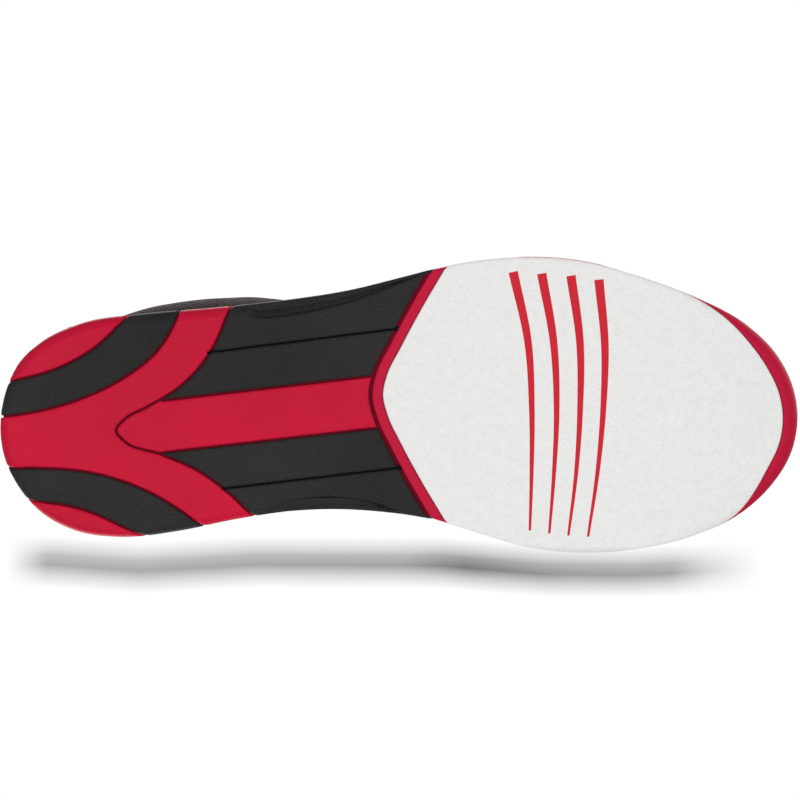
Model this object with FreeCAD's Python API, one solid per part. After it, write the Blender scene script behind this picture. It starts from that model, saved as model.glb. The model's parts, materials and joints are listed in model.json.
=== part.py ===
"""Right-foot bowling shoe: a slide-pad sole unit under a padded lace-up upper.

Frame: millimetres. +X points to the toe, +Y to the medial (inner) side, +Z up.
The origin is on the ground under the middle of the shoe.
The heel end and the middle of the shoe are one rigid group; everything in front of the ball line
turns up about the flex axis; the tongue swings inwards about its stitched lower end.
"""
import FreeCAD, Part
import math
import os
from FreeCAD import Vector

# ---------------------------------------------------------------- driving dimensions
SPRING_START_X = 70.0      # the bottom is flat up to here and then curves up to the toe
SPRING_RADIUS = 272.0      # radius of that curve at ground level
PAD_THICK = 2.2            # slide pad
BLOCK_THICK = 4.0          # coloured rubber blocks under heel and shank
WEB_THICK = 1.2            # rubber web that carries the blocks
MID_LOW = BLOCK_THICK + WEB_THICK
BALL_TOP = 13.0            # top of the midsole under the ball of the foot
HEEL_TOP = 22.0            # top of the midsole under the heel
BOARD_THICK = 1.6
SOCK_THICK = 4.0
RAND_WALL = 3.0            # thickness of the red cup wall round the forefoot
RAND_TOP = 12.4            # height of that wall above the ground line
GROOVE_WIDTH = 1.6         # gaps between the coloured blocks
BORDER_WIDTH = 4.3         # red chevron border behind the pad
GAP = 0.15                 # assembly clearance between glued pieces
FEATHER_INSET = 5.5        # how far the upper stands inside the sole's widest outline
MIDSOLE_INSET = 1.2        # the midsole's side stands this far inside the outline
FLEX_X = 51.0              # ball line
FLEX_Z = 14.2              # height of the flex axis: the insole board, which doesn't stretch
FLEX_MAX = 30.0            # degrees the toe turns up
PRINT_DEPTH = 0.25         # depth of the printed stripes in the pad

# Widest outline of the sole in plan, heel to toe along the lateral (-Y) side and back along the medial side.
OUTLINE = [(-150.5, 8.0), (-148.6, -4.5), (-143.2, -16.2), (-134.0, -24.6), (-119.0, -31.3), (-97.0, -34.6),
           (-70.0, -36.9), (-45.0, -39.6), (-20.0, -43.4), (2.0, -48.9), (23.0, -54.1), (45.0, -56.3),
           (68.0, -54.9), (90.0, -49.1), (112.0, -40.7), (130.0, -30.8), (143.3, -17.4), (149.3, -4.5),
           (150.5, 5.5), (147.4, 19.0), (140.2, 30.8), (128.5, 41.2), (110.0, 49.6), (90.0, 54.2),
           (68.0, 55.7), (48.0, 53.7), (28.0, 47.9), (9.0, 42.3), (-12.0, 39.7), (-40.0, 39.9),
           (-62.0, 43.1), (-84.0, 47.6), (-105.0, 49.8), (-122.0, 47.5), (-135.0, 40.6), (-144.4, 29.6),
           (-149.2, 18.8)]

# Edge between the slide pad and the red chevron border.
PAD_REAR = [(26.0, -68.0), (18.5, -54.6), (7.5, -35.7), (0.0, -21.6), (-4.8, -12.0), (-6.4, -4.2),
            (-4.6, 3.6), (0.0, 13.4), (7.5, 27.4), (18.0, 45.0), (27.0, 60.0)]

# Centre lines of the deep grooves between the coloured blocks.
GROOVES = {
    "corner_lateral": [(-158.0, -9.0), (-143.4, -10.2), (-128.3, -14.5), (-113.2, -23.4), (-105.0, -31.7),
                       (-100.0, -42.0)],
    "band_lateral": [(-158.0, 4.4), (-143.4, 3.2), (-120.8, -2.5), (-105.7, -9.6), (-90.6, -21.7),
                     (-84.7, -31.5), (-82.5, -44.0)],
    "band_medial": [(-158.0, 24.6), (-135.9, 23.4), (-113.2, 25.8), (-98.1, 30.8), (-83.0, 39.2), (-70.0, 52.0)],
    "corner_medial": [(-150.0, 36.9), (-132.1, 36.5), (-117.0, 39.9), (-105.7, 45.0), (-92.0, 53.0)],
    "yoke_front_lateral": [(-62.0, -46.0), (-65.2, -34.0), (-71.7, -19.8), (-83.0, -7.2), (-95.0, 0.2),
                           (-103.6, 4.9), (-106.9, 9.2), (-103.6, 13.3), (-90.0, 18.2), (-75.5, 24.7),
                           (-63.5, 33.7), (-51.0, 48.0)],
    "spine_lateral": [(-88.0, -2.3), (-48.0, -7.0), (-3.0, -12.2)],
    "spine_medial": [(-90.0, 17.6), (-48.0, 12.8), (-1.0, 7.4)],
}
# Shallow grooves that only mark the black planks.
PLANK_GROOVES = [[(-72.5, -20.2), (-36.0, -24.8), (2.0, -29.6)], [(-67.0, 31.2), (-33.0, 27.2), (3.0, 22.9)]]
PLANK_GROOVE_WIDTH = 1.2
PLANK_GROOVE_DEPTH = 2.4

# Printed stripes: centre line points and the widths at the lateral and medial ends.
STRIPES = [
    [(42.5, -50.6), (48.1, -24.3), (49.6, 2.1), (49.5, 26.0), (48.9, 47.0)],
    [(53.2, -50.0), (57.7, -24.3), (58.9, 2.1), (57.9, 26.0), (56.2, 48.1)],
    [(64.2, -49.2), (67.6, -24.3), (67.7, 2.1), (66.2, 26.0), (63.4, 48.9)],
    [(74.7, -47.7), (77.0, -22.5), (76.5, 0.0), (74.2, 26.0), (70.8, 49.3)],
]
STRIPE_WIDE = 3.5
STRIPE_NARROW = 0.9

# Top edge of the upper: (share of the way from heel to toe, x, half gap across the ridge, z).
# It is the collar, then the facing beside the tongue, then the seam round the top of the toe box.
TOP_EDGE = [(0.000, -139.0, 0.0, 98.0), (0.040, -136.5, 13.0, 97.0), (0.085, -129.0, 23.5, 91.0),
            (0.140, -116.0, 29.0, 82.5), (0.195, -98.0, 31.0, 78.0), (0.260, -74.0, 29.5, 82.5),
            (0.315, -55.0, 25.0, 94.0), (0.345, -44.5, 21.5, 101.5), (0.380, -33.0, 18.5, 99.0),
            (0.450, -12.0, 14.5, 88.5), (0.515, 7.0, 11.5, 77.5), (0.560, 20.0, 9.6, 70.5),
            (0.600, 32.5, 10.2, 66.0), (0.640, 44.5, 11.6, 62.3), (0.700, 61.0, 13.5, 57.8),
            (0.760, 76.5, 14.4, 54.0), (0.820, 90.0, 13.9, 50.9), (0.880, 101.5, 11.9, 48.2),
            (0.940, 110.5, 7.6, 46.2), (1.000, 114.8, 0.0, 45.2)]
THROAT = 0.560             # share where the facing ends
TOE_BOX = 0.860            # share where the toe box panels start
RIDGE_X = 20.0
RIDGE_Y = 1.0              # the ridge line of the upper passes here at RIDGE_X
RIDGE_SLOPE_REAR = -0.044  # dy/dx of the ridge line behind that point
RIDGE_SLOPE_FRONT = 0.036  # and in front of it
CAMBER = 3.3               # rise of the vamp's ridge over its side seams

# How the walls of the upper lean: (share, outward lean at the sole, inward and upward lean at the top,
# length of the lower and the upper handle as shares of the wall's height).
LEAN = [(0.00, 0.50, -0.30, 1.0, 0.34, 0.38), (0.10, 0.62, 0.18, 1.0, 0.34, 0.36),
        (0.25, 0.75, 0.46, 1.0, 0.34, 0.34), (0.40, 0.34, 0.54, 1.0, 0.36, 0.34),
        (0.52, 0.26, 0.85, 0.80, 0.38, 0.36), (0.62, 0.26, 1.0, 0.56, 0.44, 0.46),
        (0.75, 0.26, 1.0, 0.46, 0.52, 0.62), (0.88, 0.26, 1.0, 0.42, 0.64, 0.86), (1.00, 0.26, 1.0, 0.40, 0.80, 1.12)]

# Depths below the outer surface of the upper's layers.
SKIN = (0.0, 0.9)          # overlays
SHELL = (1.0, 2.2)         # mesh quarters and vamp
STIFF = (2.35, 3.5)        # heel counter and toe puff
LINING = 1.0               # thickness of the collar lining
FOAM = 5.0                 # thickness of the collar foam at its fullest
EYELETS = [0.375, 0.410, 0.445, 0.480, 0.515, 0.548]   # shares along the facing
EYELET_T = 0.925           # height of the eyelets on the wall, as a share
EYELET_HOLE = 4.2
EYELET_RING = 6.6
LACE_WIDTH = 6.0
LACE_THICK = 1.2
LACE_HEIGHT = 1.6          # the lace's underside stands this far off the surface
LACE_ROUND = 2.8           # across the lace where it goes through an eyelet
LACE_DROP = 4.0            # depth of its hidden runs
TONGUE_DEPTH = 5.8         # how far the tongue's edges lie below the surface
TONGUE_THICK = 3.6
TONGUE_PAD = 4.4           # extra padding between the facings
TONGUE_FIRST = 0.597       # share at its stitched end
TONGUE_BEND = 0.385        # share where it leaves the facings and rises free
TONGUE_LAST = 0.292        # share its free end would have


# ---------------------------------------------------------------- plane geometry helpers
def hermite(rows, s):
    """Smooth value(s) at s from rows of (s, a, b, ...), with finite-difference slopes."""
    last = len(rows) - 1
    i = min(max(sum(1 for r in rows if r[0] <= s) - 1, 0), last - 1)

    def slope(j, k):
        a, b = max(j - 1, 0), min(j + 1, last)
        return (rows[b][k] - rows[a][k]) / (rows[b][0] - rows[a][0])

    width = rows[i + 1][0] - rows[i][0]
    f = (s - rows[i][0]) / width
    f2, f3 = f * f, f * f * f
    return [(2 * f3 - 3 * f2 + 1) * rows[i][k] + (f3 - 2 * f2 + f) * width * slope(i, k)
            + (3 * f2 - 2 * f3) * rows[i + 1][k] + (f3 - f2) * width * slope(i + 1, k)
            for k in range(1, len(rows[0]))]


def curve(points, closed=False):
    """B-spline through 2D points at z = 0."""
    c = Part.BSplineCurve()
    c.interpolate(Points=[Vector(x, y, 0) for x, y in points], PeriodicFlag=closed)
    return c


def sample(c, n, closed=False):
    """n points along a curve, evenly spaced, as (point, unit tangent)."""
    length = c.length()
    steps = n if closed else n - 1
    found = []
    for i in range(n):
        u = c.parameterAtDistance(length * i / steps, c.FirstParameter)
        tangent = Vector(c.getD1(u)[1])
        found.append((c.value(u), tangent.normalize()))
    return found


OUTLINE_CURVE = curve(OUTLINE, closed=True)
OUTLINE_SAMPLES = sample(OUTLINE_CURVE, 240, closed=True)


def outline_points(inset):
    """The sole outline moved inwards by inset, a number or a function of the outline's own (x, y)."""
    points = []
    for p, tangent in OUTLINE_SAMPLES:
        d = inset(p.x, p.y) if callable(inset) else inset
        points.append((p.x - tangent.y * d, p.y + tangent.x * d))
    return points


def prism(points, z0, z1):
    """Solid over a smooth closed plan outline."""
    face = Part.Face(Part.Wire([curve(points[::3], closed=True).toShape()]))
    solid = face.extrude(Vector(0, 0, z1 - z0))
    solid.translate(Vector(0, 0, z0))
    return solid


def strip(centre, width, z0, z1, end_width=None):
    """Solid along a smooth plan curve; its width may taper to end_width."""
    ends = width if end_width is None else end_width
    row = sample(curve(centre), 25)
    left, right = [], []
    for i, (p, tangent) in enumerate(row):
        half = (width + (ends - width) * i / (len(row) - 1)) / 2
        left.append((p.x - tangent.y * half, p.y + tangent.x * half))
        right.append((p.x + tangent.y * half, p.y - tangent.x * half))
    a, b = curve(left).toShape(), curve(right).toShape()
    near = Part.makeLine(Vector(*left[0], 0), Vector(*right[0], 0))
    far = Part.makeLine(Vector(*left[-1], 0), Vector(*right[-1], 0))
    solid = Part.Face(Part.Wire([a, far, b, near])).extrude(Vector(0, 0, z1 - z0))
    solid.translate(Vector(0, 0, z0))
    return solid


def side_line(z, x_end=160.0):
    """Edges of the side profile at height z: level to SPRING_START_X, then the toe-spring arc."""
    radius = SPRING_RADIUS - z
    centre = Vector(SPRING_START_X, 0, SPRING_RADIUS)

    def on_arc(x):
        angle = math.asin((x - SPRING_START_X) / radius)
        return centre + Vector(radius * math.sin(angle), 0, -radius * math.cos(angle))

    middle, end = on_arc((SPRING_START_X + x_end) / 2), on_arc(x_end)
    level = Part.makeLine(Vector(-160, 0, z), Vector(SPRING_START_X, 0, z))
    return [level, Part.Arc(Vector(SPRING_START_X, 0, z), middle, end).toShape()], end


def spring(x, z):
    """Height of the profile line that is z above the ground where the sole is flat."""
    if x <= SPRING_START_X:
        return z
    return SPRING_RADIUS - math.sqrt((SPRING_RADIUS - z) ** 2 - (x - SPRING_START_X) ** 2)


HEEL_RAMP = [(-160.0, 1.0), (-90.0, 1.0), (-40.0, 0.72), (0.0, 0.28), (30.0, 0.04), (44.0, 0.0), (160.0, 0.0)]


def ramp(x):
    """Extra height under the heel, which fades out towards the ball."""
    return (HEEL_TOP - BALL_TOP) * hermite(HEEL_RAMP, x)[0]


def layer(low, high, ramped=(False, False)):
    """Solid band between two side profile lines, right across the shoe."""
    def edges(z, with_ramp):
        flat, end = side_line(z)
        if not with_ramp:
            return flat, end
        rise = Part.BSplineCurve()
        xs = [-160, -130, -100, -80, -60, -40, -20, 0, 15, 30, 44]
        rise.interpolate(Points=[Vector(x, 0, z + ramp(x)) for x in xs])
        level = Part.makeLine(Vector(44, 0, z), Vector(SPRING_START_X, 0, z))
        return [rise.toShape(), level, flat[1]], end

    lower, lower_end = edges(low, ramped[0])
    upper, upper_end = edges(high, ramped[1])
    front = Part.makeLine(lower_end, upper_end)
    back = Part.makeLine(lower[0].Vertexes[0].Point, upper[0].Vertexes[0].Point)
    wire = Part.Wire(Part.__sortEdges__(lower + [front] + upper + [back]))
    solid = Part.Face(wire).extrude(Vector(0, 200, 0))
    solid.translate(Vector(0, -100, 0))
    return solid


# ---------------------------------------------------------------- the flex joint's cut
def wedge_points(clearance, z_low=-5.0, z_high=140.0):
    """Side outline of the space that closes as the toe turns up: a slot below the axis, a V above it."""
    slope = math.tan(math.radians(FLEX_MAX / 2 + 0.4))
    reach = (z_high - FLEX_Z) * slope
    return [(FLEX_X - clearance, z_low), (FLEX_X - clearance, FLEX_Z), (FLEX_X - clearance - reach, z_high),
            (FLEX_X + clearance + reach, z_high), (FLEX_X + clearance, FLEX_Z), (FLEX_X + clearance, z_low)]


def side_prism(points):
    """Solid over a polygon in side view, right across the shoe."""
    corners = [Vector(x, -100, z) for x, z in points]
    return Part.Face(Part.makePolygon(corners + corners[:1])).extrude(Vector(0, 200, 0))


FLEX_SLOT = side_prism(wedge_points(GAP))
REAR_HALF = side_prism([(-200, -50), (FLEX_X, -50), (FLEX_X, 200), (-200, 200)])
FRONT_HALF = side_prism([(FLEX_X, -50), (300, -50), (300, 200), (FLEX_X, 200)])


def split(shape):
    """The rear and front pieces of a shape that crosses the ball line."""
    rest = shape.cut(FLEX_SLOT)
    return rest.common(REAR_HALF), rest.common(FRONT_HALF)


# ---------------------------------------------------------------- sole unit
def pad_inset(x, y):
    """The pad ends just inside the outline at the sides, and well inside it round the toe."""
    start = 106.0 if y < 5 else 117.0
    f = min(max((x - start) / (147.0 - start), 0.0), 1.0)
    return 0.6 + 5.2 * f * f * (3 - 2 * f)


def half_plane(edge, shift, forward):
    """Solid covering everything in front of (or behind) a line across the sole, moved back by shift."""
    row = []
    for p, tangent in sample(curve(edge), 25):
        row.append((p.x - tangent.y * shift, p.y + tangent.x * shift))
    c = curve(row).toShape()
    far = 250.0 if forward else -250.0
    a, b = Vector(*row[0], 0), Vector(*row[-1], 0)
    path = Part.makePolygon([b, Vector(far, b.y, 0), Vector(far, a.y, 0), a])
    solid = Part.Face(Part.Wire([c] + path.Edges)).extrude(Vector(0, 0, 80))
    solid.translate(Vector(0, 0, -10))
    return solid


def solid_at(shape, x, y):
    """The solid of a cut-up slab that stands over the point (x, y)."""
    probe = Part.makeLine(Vector(x, y, -20), Vector(x, y, 80))
    return max(shape.Solids, key=lambda s: s.common(probe).Length)


def make_sole(parts):
    """Blocks, web, rand, pad and midsole."""
    body = prism(outline_points(0.8), -10, 60)
    rear_zone = half_plane(PAD_REAR, BORDER_WIDTH + GROOVE_WIDTH, False)
    slab = body.common(rear_zone).common(layer(0, BLOCK_THICK))
    cutters = [strip(c, GROOVE_WIDTH, -1, BLOCK_THICK + 1) for c in GROOVES.values()]
    blocks = slab.cut(cutters)
    plank_cut = [strip(c, PLANK_GROOVE_WIDTH, -1, PLANK_GROOVE_DEPTH) for c in PLANK_GROOVES]
    parts["heel_corner_lateral"] = solid_at(blocks, -125, -24)
    parts["heel_band_lateral"] = solid_at(blocks, -115, -14)
    parts["heel_yoke"] = solid_at(blocks, -125, 12)
    parts["heel_band_medial"] = solid_at(blocks, -115, 32)
    parts["heel_corner_medial"] = solid_at(blocks, -120, 43)
    parts["shank_spine"] = solid_at(blocks, -60, 4)
    parts["shank_plank_lateral"] = solid_at(blocks, -45, -17).cut(plank_cut[0])
    parts["shank_plank_medial"] = solid_at(blocks, -45, 20).cut(plank_cut[1])
    parts["outsole_web"] = body.common(rear_zone).common(layer(BLOCK_THICK, MID_LOW))

    # The rand: a red cup with a chevron border at its rear end and a recess for the pad.
    cup = prism(outline_points(0.0), -10, 60).common(half_plane(PAD_REAR, BORDER_WIDTH, True))
    rand = cup.common(layer(0.6, RAND_TOP))
    well = prism(outline_points(RAND_WALL), -10, 60).common(half_plane(PAD_REAR, BORDER_WIDTH - RAND_WALL, True))
    rand = rand.cut(well.common(layer(MID_LOW, 40)))
    pad = prism(outline_points(pad_inset), -10, 60).common(half_plane(PAD_REAR, 0.0, True))
    pad = pad.common(layer(0, PAD_THICK))
    rand = rand.cut(pad)
    parts["rand_rear"], parts["rand_front"] = split(rand)
    prints = [strip(s, STRIPE_WIDE, -1, PRINT_DEPTH, STRIPE_NARROW) for s in STRIPES]
    stripes = [pad.common(s) for s in prints]
    pad_rear, pad_front = split(pad.cut(prints))
    parts["slide_pad_rear"], parts["slide_pad_front"] = pad_rear, pad_front
    parts["pad_stripe_rear"] = stripes[0]
    parts["pad_stripes_front"] = Part.makeCompound(stripes[1:])

    # The midsole fills the cup in front and is the full width behind it.
    inner = prism(outline_points(RAND_WALL + GAP), -10, 60)
    rear = prism(outline_points(MIDSOLE_INSET), -10, 60).common(half_plane(PAD_REAR, BORDER_WIDTH + GAP, False))
    front = inner.common(half_plane(PAD_REAR, BORDER_WIDTH - RAND_WALL - GAP, True))
    ledge = prism(outline_points(MIDSOLE_INSET), -10, 60).common(layer(RAND_TOP + GAP, 40))
    plan = rear.fuse([front.common(layer(MID_LOW, 40)), ledge])
    midsole = plan.common(layer(MID_LOW, BALL_TOP, (False, True)))
    shank_pocket = make_shank().common(plan)
    parts["midsole_rear"], parts["midsole_front"] = split(midsole.cut(shank_pocket))
    parts["shank_plate"] = make_shank()


def make_shank():
    """Stiff plate let into the top of the midsole between heel and ball."""
    plan = strip([(-100, 8), (-60, 4), (-20, 0), (14, -2)], 24.0, -10, 60)
    return plan.common(layer(BALL_TOP - 1.8, BALL_TOP - 0.2, (True, True)))


def make_insoles(parts):
    """Insole board glued in the upper, and the removable sockliner on it."""
    board_plan = prism(outline_points(FEATHER_INSET + 4.2), -10, 80)
    board = board_plan.common(layer(BALL_TOP, BALL_TOP + BOARD_THICK, (True, True)))
    parts["insole_board_rear"], parts["insole_board_front"] = split(board)
    sock_plan = prism(outline_points(FEATHER_INSET + 5.4), -10, 80)
    low = BALL_TOP + BOARD_THICK
    sock = sock_plan.common(layer(low, low + SOCK_THICK, (True, True)))
    parts["sockliner_rear"], parts["sockliner_front"] = split(sock)


# ---------------------------------------------------------------- the upper's surface
def mirrored(rows, odd=()):
    """The table with two mirrored rows past each end, so the two sides join without a kink."""
    def flip(row, s):
        return (s,) + tuple(-v if k in odd else v for k, v in enumerate(row[1:], 1))
    before = [flip(r, -r[0]) for r in (rows[2], rows[1])]
    after = [flip(r, 2.0 - r[0]) for r in (rows[-2], rows[-3])]
    return before + rows + after


TOP_TABLE = mirrored(TOP_EDGE, odd=(2,))
LEAN_TABLE = mirrored(LEAN)
HEEL_U = OUTLINE_CURVE.FirstParameter
TOE_U = OUTLINE_CURVE.parameter(Vector(150.5, 5.5, 0))
WHOLE_LENGTH = OUTLINE_CURVE.length()
LATERAL_LENGTH = OUTLINE_CURVE.length(HEEL_U, TOE_U)


def footing(side, s):
    """Point on the feather line (where the upper meets the sole) at share s."""
    if side < 0:
        along = LATERAL_LENGTH * s
    else:
        along = WHOLE_LENGTH - (WHOLE_LENGTH - LATERAL_LENGTH) * s
    u = OUTLINE_CURVE.parameterAtDistance(min(max(along, 0.0), WHOLE_LENGTH - 1e-4), HEEL_U)
    p, tangent = OUTLINE_CURVE.value(u), Vector(OUTLINE_CURVE.getD1(u)[1]).normalize()
    p = p + Vector(-tangent.y, tangent.x, 0) * FEATHER_INSET
    return Vector(p.x, p.y, spring(p.x, BALL_TOP) + ramp(p.x) + 0.1)


def ridge_y(x):
    """Position of the upper's ridge line across the shoe."""
    slope = RIDGE_SLOPE_REAR if x < RIDGE_X else RIDGE_SLOPE_FRONT
    return RIDGE_Y + slope * (x - RIDGE_X)


def crown(side, s):
    """Point on the top edge at share s."""
    x, gap, z = hermite(TOP_TABLE, s)
    return Vector(x, ridge_y(x) + side * max(gap, 0.0), z)


def wall(f, t):
    """Outer surface of the upper. f runs 0..1 along the lateral side from heel to toe and on to 2 along
    the medial side back to the heel; negative f is the medial side of the heel. t runs up the wall."""
    f = f % 2.0
    side, s = (-1, f) if f <= 1.0 else (1, 2.0 - f)
    low, high = footing(side, s), crown(side, s)
    out_low, in_high, up_high, hold_low, hold_high = hermite(LEAN_TABLE, s)
    inward = Vector(high.x - low.x, high.y - low.y, 0).normalize()
    height = high.z - low.z
    a = low + (Vector(0, 0, 1) - inward * out_low) * (height * hold_low)
    b = high - (Vector(0, 0, up_high) + inward * in_high) * (height * hold_high)
    r = 1.0 - t
    return low * r ** 3 + a * (3 * r * r * t) + b * (3 * r * t * t) + high * t ** 3


def arch(s, a):
    """Outer surface of the vamp: a runs 0..1 from the lateral feather line over the ridge to the medial one."""
    if a <= 0.36:
        return wall(s, a / 0.36)
    if a >= 0.64:
        return wall(2.0 - s, (1.0 - a) / 0.36)
    q = (a - 0.5) / 0.14
    left, right = crown(-1, s), crown(1, s)
    p = left * ((1 - q) / 2) + right * ((1 + q) / 2)
    return p + Vector(0, 0, CAMBER * (1 - q * q) * (right.y - left.y) / 27.0)


def normal_at(surface, u, v, h=1e-3):
    """Unit normal of a surface, outwards for wall and arch."""
    du = surface(u + h, v) - surface(u - h, v)
    dv = surface(u, min(v + h, 1.0)) - surface(u, max(v - h, 0.0))
    return du.cross(dv).normalize()


def toe_top(u, v):
    """Outer surface of the toe box's top: u runs across, v from its rear seam to the toe."""
    f_side = 0.09
    rear = arch(TOE_BOX, 0.36 + 0.28 * u)
    front = wall(TOE_BOX + f_side + (2.0 - 2.0 * (TOE_BOX + f_side)) * u, 1.0)
    left = wall(TOE_BOX + f_side * v, 1.0)
    right = wall(2.0 - TOE_BOX - f_side * v, 1.0)
    c00, c10 = wall(TOE_BOX, 1.0), wall(2.0 - TOE_BOX, 1.0)
    c01, c11 = wall(TOE_BOX + f_side, 1.0), wall(2.0 - TOE_BOX - f_side, 1.0)
    blend = rear * (1 - v) + front * v + left * (1 - u) + right * u
    corners = (c00 * ((1 - u) * (1 - v)) + c10 * (u * (1 - v)) + c01 * ((1 - u) * v) + c11 * (u * v))
    p = blend - corners
    return p + Vector(0, 0, CAMBER * 1.1 * v * (1 - v) * 4 * u * (1 - u))


def sheet(surface, u_range, v_range, depths, counts, outward=1):
    """Solid between two depths below a surface. v_range and the depths may be functions."""
    nu, nv = counts
    outer, inner = [], []
    for i in range(nu):
        u = u_range[0] + (u_range[1] - u_range[0]) * i / (nu - 1)
        v0, v1 = [v(u) if callable(v) else v for v in v_range]
        rows = [], []
        for j in range(nv):
            v = v0 + (v1 - v0) * j / (nv - 1)
            normal = normal_at(surface, u, v) * outward
            p = surface(u, v)
            for row, depth in zip(rows, depths):
                d = depth(u, v) if callable(depth) else depth
                row.append(p - normal * d)
        outer.append(rows[0])
        inner.append(rows[1])
    return close_sheet(outer, inner)


def close_sheet(outer, inner):
    """Solid between two equal grids of points."""
    surfaces = []
    for grid in (outer, inner):
        s = Part.BSplineSurface()
        s.interpolate(grid)
        surfaces.append(s)
    faces = [s.toShape() for s in surfaces]
    u0, u1, v0, v1 = surfaces[0].bounds()
    w0, w1, x0, x1 = surfaces[1].bounds()
    pairs = [(surfaces[0].uIso(u0), surfaces[1].uIso(w0)), (surfaces[0].uIso(u1), surfaces[1].uIso(w1)),
             (surfaces[0].vIso(v0), surfaces[1].vIso(x0)), (surfaces[0].vIso(v1), surfaces[1].vIso(x1))]
    for a, b in pairs:
        faces.append(Part.makeRuledSurface(a.toShape(), b.toShape()))
    shell = Part.makeShell(faces)
    shell.sewShape()
    solid = Part.makeSolid(shell)
    if solid.Volume < 0:
        solid.reverse()
    return solid


def smooth(edge0, edge1, x):
    f = min(max((x - edge0) / (edge1 - edge0), 0.0), 1.0)
    return f * f * (3 - 2 * f)


# ---------------------------------------------------------------- the upper's pieces
def saddle_top(f):
    """Upper edge of the side saddle: it follows the eyestay's lower edge."""
    return 0.765 - 0.03 * smooth(0.50, 0.55, min(f, 2 - f))


# Overlays on both sides: shares from and to, bottom and top on the wall, grid columns.
SIDE_PANELS = {
    "side_bar_rear": (0.400, 0.438, 0.02, 0.70, 6),
    "side_bar_front": (0.450, 0.490, 0.02, 0.72, 6),
    "side_saddle": (0.503, 0.548, 0.02, saddle_top, 7),
}


def foam_depth(f, t):
    """Thickness of the collar foam: full below the topline, thin at its edges."""
    s = min(abs(f), 1.0)
    across = smooth(0.50, 0.70, t) * (1.0 - 0.55 * smooth(0.88, 1.0, t))
    along = 1.0 - 0.8 * smooth(0.27, 0.36, s)
    return FOAM * across * along


def guard_top(f):
    """Upper edge of the toe guard, as a share of the wall."""
    away = abs(f - 1.0) / 0.235
    return 0.74 - 0.56 * away * away


def eyelet_frame(side, share):
    """Centre and outward normal of an eyelet."""
    f = share if side < 0 else 2.0 - share
    return wall(f, EYELET_T), normal_at(wall, f, EYELET_T)


def cylinder(centre, direction, diameter, low, high):
    return Part.makeCylinder(diameter / 2, high - low, centre + direction * low, direction)


def make_upper(parts):
    """Quarters, vamp, toe box, heel, collar, facing, eyelets."""
    upper = {}
    holes = []
    for side, word in ((-1, "lateral"), (1, "medial")):
        rings = []
        for share in EYELETS:
            centre, normal = eyelet_frame(side, share)
            holes.append(cylinder(centre, normal, EYELET_HOLE + 0.9, -6, 3))
            ring = cylinder(centre, normal, EYELET_RING, 0.15, 1.0).fuse(
                cylinder(centre, normal, EYELET_HOLE + 0.7, -2.9, 0.5))
            rings.append(ring.cut(cylinder(centre, normal, EYELET_HOLE - 0.5, -6, 3)))
        upper["eyelets_" + word] = Part.makeCompound(rings)

    def both(f0, f1):
        return {"lateral": (f0, f1), "medial": (2.0 - f1, 2.0 - f0)}

    for word, span in both(0.155, THROAT - 0.002).items():
        quarter = sheet(wall, span, (0.0, 1.0), SHELL, (23, 11))
        upper["quarter_" + word] = quarter.cut(holes)
    for word, span in both(0.352, THROAT + 0.018).items():
        upper["eyestay_" + word] = sheet(wall, span, (0.80, 1.0), SKIN, (17, 5)).cut(holes)

    for name, (f0, f1, low, high, columns) in SIDE_PANELS.items():
        for word, span in both(f0, f1).items():
            upper[f"{name}_{word}"] = sheet(wall, span, (low, high), SKIN, (columns, 9))
    upper["heel_shell"] = sheet(wall, (-0.152, 0.152), (0.0, 1.0), SHELL, (25, 11))
    upper["heel_counter"] = sheet(wall, (-0.215, 0.215), (0.04, 0.50), STIFF, (31, 7))
    upper["heel_clip"] = sheet(wall, (-0.150, 0.150), (0.01, lambda f: 0.56 - 0.30 * (f / 0.15) ** 2), SKIN, (25, 7))
    upper["heel_backstay"] = sheet(wall, (-0.022, 0.022), (0.60, 0.93), SKIN, (7, 7))
    upper["collar_foam"] = sheet(wall, (-0.352, 0.352), (0.52, 0.975),
                                 (2.3, lambda f, t: 2.8 + foam_depth(f, t)), (47, 11))
    lining_low = STIFF[1] + 0.15
    upper["collar_lining"] = sheet(wall, (-0.350, 0.350), (0.05, 0.97),
                                   (lambda f, t: max(lining_low, 2.95 + foam_depth(f, t)),
                                    lambda f, t: max(lining_low, 2.95 + foam_depth(f, t)) + LINING), (47, 15))
    for word, span in both(0.354, THROAT - 0.006).items():
        upper["facing_" + word] = sheet(wall, span, (0.80, 0.99), (2.35, 3.1), (17, 5)).cut(holes)

    vamp = sheet(arch, (THROAT + 0.002, TOE_BOX - 0.001), (0.0, 1.0), SHELL, (21, 27))
    slit = side_prism(wedge_points(GAP))
    upper["vamp_rear"] = vamp.cut(slit).common(REAR_HALF)
    upper["vamp_front"] = vamp.cut(slit).common(FRONT_HALF)
    upper["vamp_flex"] = vamp.common(side_prism(wedge_points(GAP - 0.1)))
    upper["toe_box_wall"] = sheet(wall, (TOE_BOX + 0.001, 2.0 - TOE_BOX - 0.001), (0.0, 0.995), SHELL, (41, 15))
    upper["toe_box_top"] = sheet(toe_top, (0.012, 0.988), (0.02, 0.97), SHELL, (11, 9), -1)
    upper["toe_puff"] = sheet(wall, (0.905, 1.095), (0.08, 0.66), STIFF, (31, 11))
    upper["toe_guard"] = sheet(wall, (0.765, 1.235), (0.01, guard_top), SKIN, (57, 11))
    parts.update(upper)


# ---------------------------------------------------------------- tongue, lace, pull tab
def tongue_frame(s):
    """Centre, lateral edge and medial edge of the tongue's upper side at share s."""
    side = 0.165 + 0.035 * smooth(0.42, 0.56, s)
    return [arch(s, a) - normal_at(arch, s, a) * TONGUE_DEPTH for a in (0.5, 0.5 - side, 0.5 + side)]


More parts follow.
